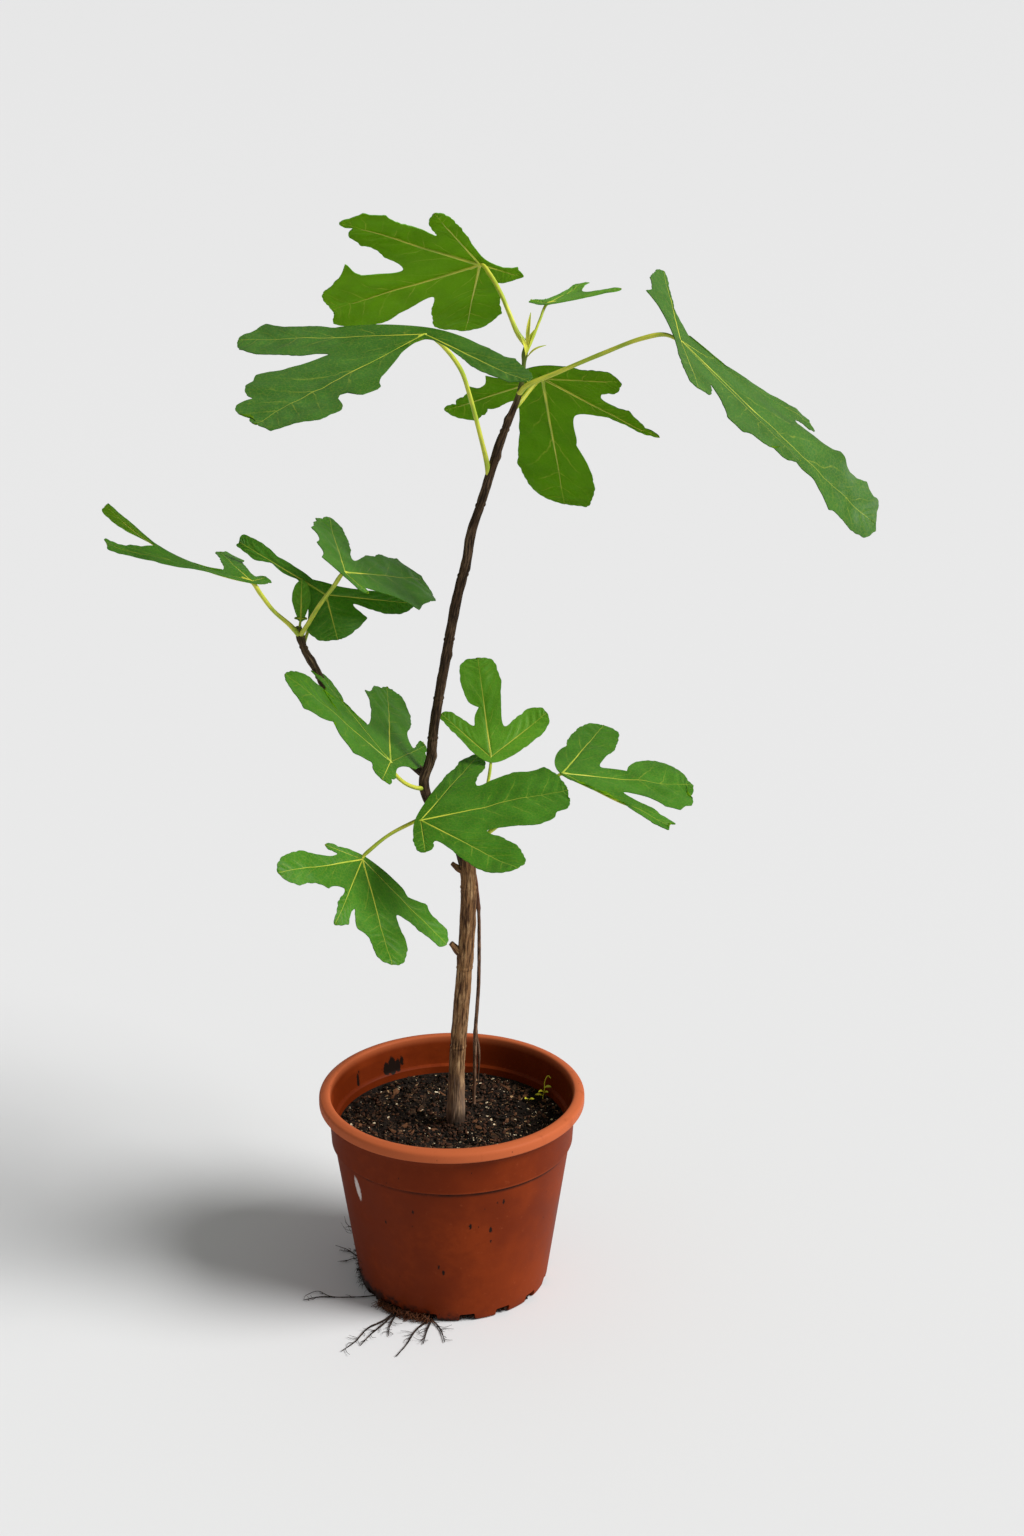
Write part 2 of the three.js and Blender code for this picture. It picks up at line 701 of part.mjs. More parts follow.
// The blade as a thin closed sheet: two skins offset along the surface normals and a rim.
function bladeBody(leaf) {
  const margin = marginOf(leaf);
  const keys = new Map();
  const points = [];
  const id = (flat) => {
    const key = flat.map((v) => v.toFixed(3)).join();
    if (!keys.has(key)) {
      keys.set(key, points.push(onBlade(leaf, flat)) - 1);
    }
    return keys.get(key);
  };
  const centre = id([0, 0]);
  const faces = [];
  const quad = (a, b, c, d) => faces.push([a, b, c], [a, c, d]);
  leaf.lobes.forEach((_, i) => {
    const rows = lobeRows(leaf, margin, i).map((row) => row.map(id));
    faces.push([centre, rows[0][0], rows[0][1]], [centre, rows[0][1], rows[0][2]]);
    for (let k = 0; k + 1 < rows.length; k += 1) {
      const [r0, m0, l0] = rows[k];
      const [r1, m1, l1] = rows[k + 1];
      if (r1 === m1) {
        faces.push([r0, r1, m0], [m0, r1, l0]);
      } else {
        quad(r0, r1, m1, m0);
        quad(m0, m1, l1, l0);
      }
    }
  });
  const normals = points.map(() => new THREE.Vector3());
  for (const [a, b, c] of faces) {
    const n = new THREE.Vector3().subVectors(points[b], points[a]);
    n.cross(new THREE.Vector3().subVectors(points[c], points[a]));
    [a, b, c].forEach((k) => normals[k].add(n));
  }
  const longest = Math.max(...leaf.lobes.map((lobe) => lobe[1]));
  const half = Math.max(BLADE_THICKNESS, BLADE_SLENDERNESS * longest) / 2;
  const count = points.length;
  const frame = leafFrame(leaf.turn);
  const place = (p, offset, n) => {
    const q = p.clone().addScaledVector(n, offset).applyMatrix4(frame).add(vec(leaf.at));
    return q.toArray();
  };
  normals.forEach((n) => n.normalize());
  const skins = [
    ...points.map((p, k) => place(p, half, normals[k])),
    ...points.map((p, k) => place(p, -half, normals[k])),
  ];
  const shell = [];
  const edges = new Set(faces.flatMap(([a, b, c]) => [`${a},${b}`, `${b},${c}`, `${c},${a}`]));
  for (const [a, b, c] of faces) {
    shell.push([a, b, c], [a + count, c + count, b + count]);
    for (const [p, q] of [[a, b], [b, c], [c, a]]) {
      if (!edges.has(`${q},${p}`)) {
        shell.push([p, p + count, q + count], [p, q + count, q]);
      }
    }
  }
  return solid(indexed(skins, shell));
}

// The stalk runs from inside its limb to the junction and a little way under the midrib.
function stalkBody(leaf) {
  const frame = leafFrame(leaf.turn);
  const under = (along, depth) => {
    const p = new THREE.Vector3(along, 0, -depth).applyMatrix4(frame).add(vec(leaf.at));
    return p.toArray();
  };
  const longest = Math.max(...leaf.lobes.map((lobe) => lobe[1]));
  const size = THREE.MathUtils.clamp(longest / 120, 0.6, 1);
  const reach = Math.min(PETIOLE_REACH, 0.15 * longest);
  const path = [...leaf.stalk, under(-1, 1.5 * size), under(reach, 1.1)];
  const radii = [PETIOLE_FOOT_RADIUS, PETIOLE_RADIUS, PETIOLE_RADIUS, PETIOLE_RADIUS, 1.1];
  const steps = 2 + 2 * leaf.stalk.length;
  return limb(path, radii.map((r) => r * size), steps, 6);
}

// ---- drain roots -----------------------------------------------------------

// Fine roots that have grown out of the drain holes and lie along the ground, [x, y] from above.
const ROOT_RADIUS = 1.2;
const ROOT_REST = 1.6;
const FRONT_ROOTS = [
  [[-42, -58], [-50, -71], [-61, -86], [-74, -98], [-84, -119], [-95, -134]],
  [[-42, -58], [-49, -70], [-60, -90], [-71, -108], [-79, -125]],
  [[-42, -58], [-48, -70], [-55, -96], [-55, -110]],
];
const MIDDLE_ROOTS = [
  [[-16, -70], [-19, -84], [-29, -97], [-33, -106], [-39, -125], [-47, -142]],
  [[-16, -70], [-18, -86], [-21, -100], [-24, -123]],
  [[-16, -70], [-17, -84], [-13, -92], [-9, -101], [-5, -120]],
];
const LEFT_ROOTS = [
  [[-61, -38], [-74, -45], [-92, -47], [-111, -46], [-124, -37], [-134, -44]],
  [[-107, -47], [-122, -47], [-136, -52]],
];
const SIDE_ROOTS = [
  [[-70, 16], [-84, 19], [-94, 27], [-102, 36], [-113, 43]],
  [[-70, 16], [-84, 18], [-93, 20], [-101, 15]],
];

function rootBody(runs) {
  return runs
    .map((run) => {
      const path = run.map(([x, y]) => [x, y, ROOT_REST]);
      return limb(path, [ROOT_RADIUS, ROOT_RADIUS, 0.6 * ROOT_RADIUS], 2 * run.length, 6);
    })
    .reduce((whole, run) => whole.add(run));
}

// ---- assembly --------------------------------------------------------------

function part(name, body, colour, roughness) {
  const material = new THREE.MeshStandardMaterial({ color: colour, roughness, metalness: 0 });
  const mesh = new THREE.Mesh(geometryOf(body), material);
  mesh.name = name;
  return mesh;
}

const tree = new THREE.Group();
tree.name = 'fig_tree_in_pot';

const pot = potBody();
const trunk = trunkBody();
const trunkSkin = trunkBody(SEAT_GAP);
const leader = leaderBody().subtract(trunkSkin);
const leaderSkin = leaderBody(SEAT_GAP);
const bough = boughBody().subtract(leaderSkin);
const skins = { trunk: trunkSkin, leader: leaderSkin, bough: boughBody(SEAT_GAP) };

tree.add(part('pot', pot, COLOURS.pot, 0.5));
tree.add(part('soil', soilBody(), COLOURS.soil, 1));
tree.add(part('trunk', trunk, COLOURS.trunk, 0.9));
tree.add(part('leader', leader, COLOURS.bough, 0.85));
tree.add(part('left_bough', bough, COLOURS.bough, 0.85));
tree.add(part('dead_shoot', deadShootBody().subtract(trunkSkin), COLOURS.deadShoot, 0.9));
for (const leaf of LEAVES) {
  let body = bladeBody(leaf).add(stalkBody(leaf));
  for (const skin of Object.values(skins)) {
    body = body.subtract(skin);
  }
  tree.add(part(leaf.name, body, COLOURS.leaf, 0.7));
}
const rootGroups = { front: FRONT_ROOTS, middle: MIDDLE_ROOTS, left: LEFT_ROOTS, side: SIDE_ROOTS };
for (const [side, runs] of Object.entries(rootGroups)) {
  tree.add(part(`drain_roots_${side}`, rootBody(runs), COLOURS.root, 0.95));
}

export default tree;
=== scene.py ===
"""A young fig tree in a round terracotta-coloured nursery pot, dressed for close viewing.

Lengths are in millimetres until a mesh is made, which is in metres. +X is right, +Y away and
+Z up. The pot stands on z = 0 at the origin. Every limb and leaf grows along the same lines,
by the same rule, as the solid that it stands for.
"""
import logging
import math
from contextlib import contextmanager
from dataclasses import dataclass
from enum import Enum
from functools import cached_property
from typing import Callable, Iterator, Sequence

import bpy
import numpy as np
from mathutils import Matrix, Vector, noise


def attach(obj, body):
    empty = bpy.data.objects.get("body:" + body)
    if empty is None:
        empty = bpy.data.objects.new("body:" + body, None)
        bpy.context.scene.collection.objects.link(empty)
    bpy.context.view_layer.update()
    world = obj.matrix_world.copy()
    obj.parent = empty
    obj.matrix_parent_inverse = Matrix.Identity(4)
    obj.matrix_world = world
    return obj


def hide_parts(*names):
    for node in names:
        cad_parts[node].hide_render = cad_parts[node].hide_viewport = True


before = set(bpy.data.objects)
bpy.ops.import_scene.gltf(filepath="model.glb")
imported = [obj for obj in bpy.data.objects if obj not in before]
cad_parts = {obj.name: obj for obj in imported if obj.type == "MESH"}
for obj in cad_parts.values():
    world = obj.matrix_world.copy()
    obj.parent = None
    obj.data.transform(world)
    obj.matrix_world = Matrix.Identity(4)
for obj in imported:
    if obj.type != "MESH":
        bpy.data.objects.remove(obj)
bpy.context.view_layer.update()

LOG = logging.getLogger("fig_tree")
MM = 0.001
Point = tuple[float, float, float]
Flat = tuple[float, float]
Colour = tuple[float, float, float]
Array = np.ndarray
Piece = bpy.types.Object
Material = bpy.types.Material
Socket = bpy.types.NodeSocket
Value = float | Sequence[float] | Socket


# ---- bench ----


def deselect() -> None:
    """Deselects everything."""
    bpy.ops.object.select_all(action="DESELECT")


def take(piece: Piece) -> None:
    """Makes one piece the only selected one and the active one.

    Args:
        piece: the object to work on.
    """
    deselect()
    piece.select_set(True)
    bpy.context.view_layer.objects.active = piece


@contextmanager
def editing(piece: Piece) -> Iterator[None]:
    """Holds one piece in edit mode, with all of its mesh selected at the start.

    Args:
        piece: the object to edit.
    """
    take(piece)
    bpy.ops.object.mode_set(mode="EDIT")
    bpy.ops.mesh.select_all(action="SELECT")
    yield
    bpy.ops.object.mode_set(mode="OBJECT")


def modify(piece: Piece, kind: str, **settings: object) -> None:
    """Adds one modifier to a piece, sets it and applies it.

    Args:
        piece: the object to change.
        kind: the modifier's type, such as "SOLIDIFY".
        **settings: the modifier's own properties.
    """
    take(piece)
    bpy.ops.object.modifier_add(type=kind)
    modifier = piece.modifiers[-1]
    for key, value in settings.items():
        setattr(modifier, key, value)
    bpy.ops.object.modifier_apply(modifier=modifier.name)


def freeze(piece: Piece) -> None:
    """Moves a piece's own place, turn and scale into its mesh."""
    take(piece)
    bpy.ops.object.transform_apply(location=True, rotation=True, scale=True)


def named(name: str) -> Piece:
    """Names the active object and its mesh.

    Args:
        name: the new name.

    Returns:
        The active object.
    """
    piece = bpy.context.view_layer.objects.active
    piece.name = name
    piece.data.name = name
    return piece


def from_arrays(name: str, points: Array, faces: Sequence) -> Piece:
    """Makes an object from points in millimetres and faces.

    Args:
        name: the object's name.
        points: one row of three for each vertex.
        faces: the vertex numbers of each face.

    Returns:
        The new object, with its mesh in metres.
    """
    mesh = bpy.data.meshes.new(name)
    mesh.from_pydata((np.asarray(points) * MM).tolist(), [], faces)
    piece = bpy.data.objects.new(name, mesh)
    bpy.context.scene.collection.objects.link(piece)
    return piece


def join(pieces: Sequence[Piece], name: str) -> Piece:
    """Joins several pieces into the first of them.

    Args:
        pieces: the objects to join.
        name: the joined object's name.

    Returns:
        The joined object.
    """
    take(pieces[0])
    for piece in pieces[1:]:
        piece.select_set(True)
    bpy.ops.object.join()
    return named(name)


def finish(
    piece: Piece, skins: Sequence[Material], slot: str, *nodes: str, crease: float | None = None
) -> None:
    """Args:
        piece: the modelled object.
        skins: its materials, or none where it has them already.
        slot: the record's material slot.
        *nodes: the solids that it stands for.
        crease: the angle in degrees past which an edge stays sharp, or None for no limit.
    """
    with editing(piece):
        bpy.ops.mesh.normals_make_consistent(inside=False)
    freeze(piece)
    if crease is None:
        bpy.ops.object.shade_smooth()
    else:
        bpy.ops.object.shade_smooth_by_angle(angle=math.radians(crease))
    for skin in skins:
        piece.data.materials.append(skin)
    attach(piece, "root")
    if nodes:
        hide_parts(*nodes)
    LOG.info("%s: %d faces, slot %s", piece.name, len(piece.data.polygons), slot)


# ---- lines ----


SHORTEST_SPAN = 1e-4
LINE_STEPS = 24


def smoothstep(value: Array, low: float, high: float) -> Array:
    """Eases from 0 at low to 1 at high."""
    t = np.clip((value - low) / (high - low), 0.0, 1.0)
    return t * t * (3.0 - 2.0 * t)


def polar(degrees: float, radius: float) -> Array:
    """A flat point at an angle and a distance from the origin."""
    return radius * np.array([math.cos(math.radians(degrees)), math.sin(math.radians(degrees))])


def net_faces(rows: int, columns: int, start: int = 0) -> Array:
    """Lists the faces of a net of points that are numbered row by row.

    Args:
        rows: how many rows of points it has.
        columns: how many points a row has.
        start: the first point's number.

    Returns:
        Four point numbers for each face.
    """
    net = start + np.arange(rows * columns).reshape(rows, columns)
    return np.stack([net[:-1, :-1], net[1:, :-1], net[1:, 1:], net[:-1, 1:]], axis=-1).reshape(-1, 4)


def smooth_line(points: Sequence, closed: bool, steps: int) -> Array:
    """Draws a centripetal Catmull-Rom line through points.

    Args:
        points: the points that it passes through.
        closed: whether it returns to its start.
        steps: samples for each span.

    Returns:
        The samples, the last point included only on an open line.
    """
    knots = np.asarray(points, float)
    count = len(knots)
    if closed:
        padded = np.vstack([knots[-1], knots, knots[:2]])
        spans = count
    else:
        padded = np.vstack([2 * knots[0] - knots[1], knots, 2 * knots[-1] - knots[-2]])
        spans = count - 1
    t = np.linspace(0.0, 1.0, steps, endpoint=False)[:, None]
    drawn = []
    for i in range(spans):
        p0, p1, p2, p3 = padded[i : i + 4]
        pairs = ((p0, p1), (p1, p2), (p2, p3))
        d0, d1, d2 = (max(math.sqrt(np.linalg.norm(b - a)), SHORTEST_SPAN) for a, b in pairs)
        leave = d1 * ((p1 - p0) / d0 - (p2 - p0) / (d0 + d1) + (p2 - p1) / d1)
        reach = d1 * ((p2 - p1) / d1 - (p3 - p1) / (d1 + d2) + (p3 - p2) / d2)
        square = 3 * (p2 - p1) - 2 * leave - reach
        cube = 2 * (p1 - p2) + leave + reach
        drawn.append(p1 + leave * t + square * t**2 + cube * t**3)
    if not closed:
        drawn.append(knots[-1:])
    return np.vstack(drawn)


@dataclass
class Sweep:
    """A round limb along a smooth line, its radius easing through a list from foot to tip."""

    path: Sequence
    radii: Sequence[float]
    sides: int
    pitch: float

    def __post_init__(self) -> None:
        """Places the rings evenly along the line and carries a frame along them."""
        line = smooth_line(self.path, False, LINE_STEPS)
        run = np.concatenate([[0.0], np.cumsum(np.linalg.norm(np.diff(line, axis=0), axis=1))])
        count = max(int(run[-1] / self.pitch), 3) + 1
        self.along = np.linspace(0.0, run[-1], count)
        self.centres = np.stack([np.interp(self.along, run, line[:, k]) for k in range(3)], axis=1)
        tangents = np.gradient(self.centres, axis=0)
        self.tangents = tangents / np.linalg.norm(tangents, axis=1, keepdims=True)
        shares = np.linspace(0.0, 1.0, len(self.radii))
        self.radius = np.interp(self.along / run[-1], shares, self.radii)
        side = np.array([1.0, 0.0, 0.0])
        if abs(self.tangents[0] @ side) > 0.9:
            side = np.array([0.0, 1.0, 0.0])
        sides = []
        for tangent in self.tangents:
            side = side - tangent * (side @ tangent)
            side = side / np.linalg.norm(side)
            sides.append(side)
        self.side = np.array(sides)
        self.across = np.cross(self.tangents, self.side)
        self.turn = 2 * np.pi * np.arange(self.sides) / self.sides

    def outward(self) -> Array:
        """The outward direction of every point, by ring and by place round the ring."""
        cos, sin = np.cos(self.turn)[None, :, None], np.sin(self.turn)[None, :, None]
        return self.side[:, None] * cos + self.across[:, None] * sin

    def build(self, name: str, relief: Callable | None = None) -> Piece:
        """Makes the limb as one closed mesh with its own unbent coordinates.

        Args:
            name: the object's name.
            relief: gives the height added to each point from its place, its unbent place and
                its ring's radius, or None for a smooth limb.

        Returns:
            The limb, with the unbent place of each point in its attribute "limb".
        """
        outward = self.outward()
        radius = np.repeat(self.radius[:, None], self.sides, axis=1)
        along = np.repeat(self.along[:, None], self.sides, axis=1)
        unbent = np.stack([np.cos(self.turn) * radius, np.sin(self.turn) * radius, along], axis=-1)
        base = self.centres[:, None] + outward * radius[..., None]
        if relief is not None:
            radius = radius + relief(base, unbent, radius)
        points = self.centres[:, None] + outward * radius[..., None]
        rings, sides = radius.shape
        points = np.vstack([points.reshape(-1, 3), self.centres[:1], self.centres[-1:]])
        foot, head, last = rings * sides, rings * sides + 1, (rings - 1) * sides
        pairs = [(k, (k + 1) % sides) for k in range(sides)]
        starts = range(0, last, sides)
        faces = [(i + a, i + b, i + b + sides, i + a + sides) for i in starts for a, b in pairs]
        for a, b in pairs:
            faces += [(foot, b, a), (head, last + a, last + b)]
        piece = from_arrays(name, points, faces)
        kept = piece.data.attributes.new("limb", "FLOAT_VECTOR", "POINT")
        ends = np.array([[0.0, 0.0, 0.0], [0.0, 0.0, self.along[-1]]])
        kept.data.foreach_set("vector", (np.vstack([unbent.reshape(-1, 3), ends]) * MM).ravel())
        return piece


# ---- finishes ----


@dataclass(frozen=True)
class Grain:
    """A cloudy pattern: its fineness, its levels of detail, its roughness and its scale along Z."""

    fineness: float
    detail: float = 3.0
    rough: float = 0.55
    drawn: float = 1.0


class Sheet:
    """A material's node sheet and its colour so far, with short calls that add nodes to it."""

    def __init__(self, name: str, colour: Value) -> None:
        """Opens an empty sheet.

        Args:
            name: the material's name.
            colour: its first colour, which other tones are laid over.
        """
        self.colour = colour
        self.material = bpy.data.materials.new(name)
        self.material.use_nodes = True
        self.tree = self.material.node_tree
        self.tree.nodes.clear()

    def add(self, kind: str, values: dict[str | int, Value], **settings: object) -> bpy.types.Node:
        """Adds a node, sets its properties and feeds its inputs.

        Args:
            kind: the node's type, without its prefix.
            values: a plain value or an output for each named or numbered input.
            **settings: the node's own properties.

        Returns:
            The node.
        """
        node = self.tree.nodes.new("ShaderNode" + kind)
        for key, value in settings.items():
            setattr(node, key, value)
        for key, value in values.items():
            socket = node.inputs[key]
            if isinstance(value, Socket):
                self.tree.links.new(value, socket)
            elif socket.type == "RGBA":
                socket.default_value = (*value, 1.0)
            else:
                socket.default_value = value
        return node

    @cached_property
    def place(self) -> Socket:
        """The place on the piece, in metres."""
        return self.add("TexCoord", {}).outputs["Object"]

    @cached_property
    def axes(self) -> bpy.types.bpy_prop_collection:
        """The same place, split into X, Y and Z."""
        return self.add("SeparateXYZ", {"Vector": self.place}).outputs

    def attribute(self, name: str) -> Socket:
        """A vector attribute of the mesh."""
        return self.add("Attribute", {}, attribute_name=name).outputs["Vector"]

    def map(self, name: str) -> bpy.types.bpy_prop_collection:
        """A UV map of the mesh, split into X and Y."""
        uv = self.add("UVMap", {}, uv_map=name).outputs["UV"]
        return self.add("SeparateXYZ", {"Vector": uv}).outputs

    def stretched(self, vector: Socket, scale: Point) -> Socket:
        """A place with each of its axes scaled."""
        return self.add("Mapping", {"Vector": vector, "Scale": scale}).outputs["Vector"]

    def cloud(self, grain: Grain, vector: Socket | None = None) -> Socket:
        """Adds a cloudy pattern from 0 to 1.

        Args:
            grain: how fine it is and how far it is drawn out along Z.
            vector: the place on a limb, or None for the place on the piece.

        Returns:
            The pattern.
        """
        vector = vector or self.place
        if grain.drawn != 1.0:
            vector = self.stretched(vector, (1.0, 1.0, grain.drawn))
        inputs = {"Vector": vector, "Scale": grain.fineness, "Detail": grain.detail, "Roughness": grain.rough}
        return self.add("TexNoise", inputs).outputs[0]

    def cells(self, vector: Value, scale: float, feature: str) -> Socket:
        """Distances in a pattern of random cells."""
        return self.add("TexVoronoi", {"Vector": vector, "Scale": scale}, feature=feature).outputs["Distance"]

    def maths(self, operation: str, *values: Value) -> Socket:
        """One sum on one, two or three numbers."""
        return self.add("Math", dict(enumerate(values)), operation=operation).outputs[0]

    def times(self, first: Value, second: Value) -> Socket:
        """One number times another."""
        return self.maths("MULTIPLY", first, second)

    def ease(self, value: Value, low: float, high: float, start: float = 0.0, end: float = 1.0) -> Socket:
        """Eases from start where value is low to end where it is high."""
        inputs = {"Value": value, "From Min": low, "From Max": high, "To Min": start, "To Max": end}
        return self.add("MapRange", inputs, interpolation_type="SMOOTHSTEP").outputs[0]

    def blend(self, factor: Value, first: Value, second: Value) -> Socket:
        """Mixes two colours."""
        return self.add("Mix", {0: factor, 6: first, 7: second}, data_type="RGBA").outputs[2]

    def lay(self, mask: Value, tone: Value) -> None:
        """Lays a tone over the colour so far."""
        self.colour = self.blend(mask, self.colour, tone)

    def stain(self, tone: Value, pattern: Value, edges: Flat, strength: float = 1.0) -> None:
        """Lays a tone over the colour where a pattern passes from its first edge to its second."""
        self.lay(self.ease(pattern, *edges, 0.0, strength), tone)

    def bump(self, height: Value, strength: float, distance: float) -> Socket:
        """A normal tilted by a height pattern; the distance is in millimetres."""
        inputs = {"Height": height, "Strength": strength, "Distance": distance * MM}
        return self.add("Bump", inputs).outputs["Normal"]

    def skin(self, roughness: Value, shine: float, normal: Value) -> Socket:
        """An opaque shader of the colour so far."""
        inputs = {"Base Color": self.colour, "Roughness": roughness, "Normal": normal}
        return self.add("BsdfPrincipled", {**inputs, "Specular IOR Level": shine}).outputs["BSDF"]

    def done(self, shader: Socket) -> Material:
        """Sends a shader to the output and gives the finished material."""
        self.add("OutputMaterial", {"Surface": shader})
        return self.material

    def coat(self, roughness: Value, shine: float, normal: Value) -> Material:
        """Finishes an opaque material of the colour so far."""
        return self.done(self.skin(roughness, shine, normal))


@dataclass(frozen=True)
class PottingPlastic:
    """Satin terracotta-coloured plastic, lighter at the lip, dusty, scuffed and soiled, with painted shadow
    under the step and the lip, a painted highlight on the step's edge and painted shade on its left side.
    """

    lip_inner_radius: float
    step_height: float
    lip_foot: float
    body: Colour = (0.205, 0.0290, 0.0042)
    shade: Colour = (0.138, 0.0175, 0.0024)
    lip: Colour = (0.450, 0.105, 0.036)
    dirt_and_shadow: Colour = (0.012, 0.006, 0.004)
    scuff: Colour = (0.62, 0.55, 0.52)
    shine: float = 0.06
    outer_wall: Flat = (105.0, 105.6)
    patches: Grain = Grain(17.0, 4.0)
    streaks: Grain = Grain(95.0, 5.0, drawn=0.16)
    dust: Grain = Grain(260.0, 4.0, 0.7)
    grime_and_shade: Grain = Grain(120.0, 5.0, 0.65)
    scratches: Grain = Grain(620.0, 3.0, 0.7, 0.07)
    scratched: Grain = Grain(31.0, 2.0)
    ragged: Grain = Grain(800.0)
    torn: Grain = Grain(900.0, drawn=0.3)
    pits: Grain = Grain(900.0, 2.0)
    drips: float = 0.42
    drips_fineness: float = 105.0
    scrape_centre: Point = (-82.5, -64.5, 123.5)
    scrape_lean: float = -0.20
    scrape_squeeze: Point = (0.40, 0.22, 0.088)
    specks: tuple[tuple[float, float, float, float], ...] = (
        (47.1, -93.8, 126.8, 1.6), (41.5, -96.0, 127.6, 1.0), (17.9, -100.3, 105.8, 1.9),
        (35.7, -94.4, 99.1, 2.1), (35.6, -92.4, 86.4, 1.0), (-32.3, -98.8, 119.4, 1.3),
        (-6.3, -94.3, 55.6, 1.8), (-10.5, -94.8, 62.0, 1.3), (-57.0, -83.6, 100.6, 1.1),
        (-50.0, 94.9, 169.6, 3.0), (-58.9, 89.5, 165.7, 6.4), (-64.0, 86.0, 164.6, 4.8),
        (-53.5, 92.6, 165.4, 4.4), (-89.1, 59.7, 170.0, 2.4), (-88.0, 61.0, 175.0, 1.4),
        (-89.6, 60.2, 164.6, 3.0),
    )

    def build(self) -> Material:
        """Makes the material.

        Returns:
            The finished material.
        """
        sheet = Sheet("potting_plastic", self.shade)
        cloud = sheet.cloud(self.patches)
        sheet.stain(self.body, cloud, (0.34, 0.68))
        self.line(sheet)
        self.soil(sheet)
        self.speck(sheet)
        self.scrape(sheet)
        rough = sheet.ease(cloud, 0.3, 0.7, 0.46, 0.60)
        return sheet.coat(rough, self.shine, sheet.bump(sheet.cloud(self.pits), 0.12, 0.25))

    def line(self, sheet: Sheet) -> None:
        """Lightens the lip, paints a highlight along the edge of the step and paints shadow into the corners
        under both.

        Args:
            sheet: the node sheet.
        """
        height = sheet.axes["Z"]
        flat = sheet.stretched(sheet.place, (1.0, 1.0, 0.0))
        radius = sheet.add("VectorMath", {0: flat}, operation="LENGTH").outputs["Value"]
        inner, step, lip = (size * MM for size in (self.lip_inner_radius, self.step_height, self.lip_foot))
        outside = sheet.ease(radius, inner - 1.2 * MM, inner + 0.4 * MM)
        sheet.lay(sheet.times(sheet.ease(height, lip - 0.8 * MM, lip + 1.0 * MM), outside), self.lip)
        # Painted highlight: a faint line of the lip tone along the top edge of the step.
        lower = sheet.ease(height, step - 0.2 * MM, step + 0.3 * MM)
        painted_highlight = sheet.times(lower, sheet.ease(height, step + 2.2 * MM, step + 0.6 * MM))
        sheet.lay(sheet.times(painted_highlight, 0.12), self.lip)
        band = sheet.ease(radius, *(limit * MM for limit in self.outer_wall))
        # Painted shadow: the dark tone is laid in the corners under the step and under the lip, where shade
        # falls.
        for corner, depth, wall in ((step - 0.1 * MM, 5.2 * MM, band), (lip - 0.6 * MM, 5.0 * MM, outside)):
            fading = sheet.ease(height, corner - depth, corner - 0.4 * depth)
            under = sheet.times(fading, sheet.ease(height, corner + 0.3 * MM, corner))
            sheet.lay(sheet.times(sheet.times(under, wall), 0.80), self.dirt_and_shadow)

    def soil(self, sheet: Sheet) -> None:
        """Streaks and dusts the wall, soils its foot and paints shade over its left side.

        Args:
            sheet: the node sheet.
        """
        across, height, lip = sheet.axes["X"], sheet.axes["Z"], self.lip_foot * MM
        sheet.stain(self.shade, sheet.cloud(self.streaks), (0.55, 0.85), 0.45)
        sheet.stain(self.lip, sheet.cloud(self.dust), (0.60, 0.80), 0.30)
        grime_and_shade = sheet.cloud(self.grime_and_shade)
        # Painted shade: the darker tone is laid over the left side of the body, below the lip.
        left_painted_shade = sheet.ease(sheet.maths("MULTIPLY_ADD", across, -3.2, grime_and_shade), 0.34, 0.86, 0.0, 0.85)
        sheet.lay(sheet.times(left_painted_shade, sheet.ease(height, lip, lip - 4.0 * MM)), self.shade)
        low = sheet.maths("MULTIPLY_ADD", height, -26.0, grime_and_shade)
        sheet.stain(self.dirt_and_shadow, sheet.maths("MULTIPLY_ADD", across, -4.2, low), (0.27, 0.58), 0.96)

    def speck(self, sheet: Sheet) -> None:
        """Adds flecks, short scratches and the larger specks, all drawn out downwards.

        Args:
            sheet: the node sheet.
        """
        drawn = sheet.stretched(sheet.place, (1.0, 1.0, self.drips))
        sheet.stain(self.dirt_and_shadow, sheet.cells(drawn, self.drips_fineness, "F1"), (0.060, 0.03), 0.85)
        scratch = sheet.ease(sheet.cloud(self.scratches), 0.66, 0.74, 0.0, 0.55)
        sheet.lay(sheet.times(scratch, sheet.ease(sheet.cloud(self.scratched), 0.50, 0.66)), self.dirt_and_shadow)
        wobble = sheet.times(sheet.cloud(self.ragged), 2.6 * MM)
        for x, y, z, size in self.specks:
            centre = (x * MM, y * MM, self.drips * z * MM)
            near = sheet.add("VectorMath", {0: drawn, 1: centre}, operation="DISTANCE")
            reach = sheet.maths("ADD", near.outputs["Value"], wobble)
            edge = (0.68 * size + 1.4) * MM
            sheet.stain(self.dirt_and_shadow, reach, (edge + 0.3 * MM, edge - 0.5 * MM))

    def scrape(self, sheet: Sheet) -> None:
        """Adds the pale scrape that runs down the left of the body.

        Args:
            sheet: the node sheet.
        """
        centre = tuple(value * MM for value in self.scrape_centre)
        inputs = {"Vector": sheet.place, "Location": centre, "Rotation": (0.0, self.scrape_lean, 0.0)}
        centred = sheet.add("Mapping", inputs, vector_type="TEXTURE").outputs["Vector"]
        squeezed = sheet.stretched(centred, self.scrape_squeeze)
        reach = sheet.add("VectorMath", {0: squeezed}, operation="LENGTH").outputs["Value"]
        reach = sheet.maths("ADD", reach, sheet.times(sheet.cloud(self.torn), 0.9 * MM))
        sheet.stain(self.scuff, reach, (1.65 * MM, 1.25 * MM), 0.9)


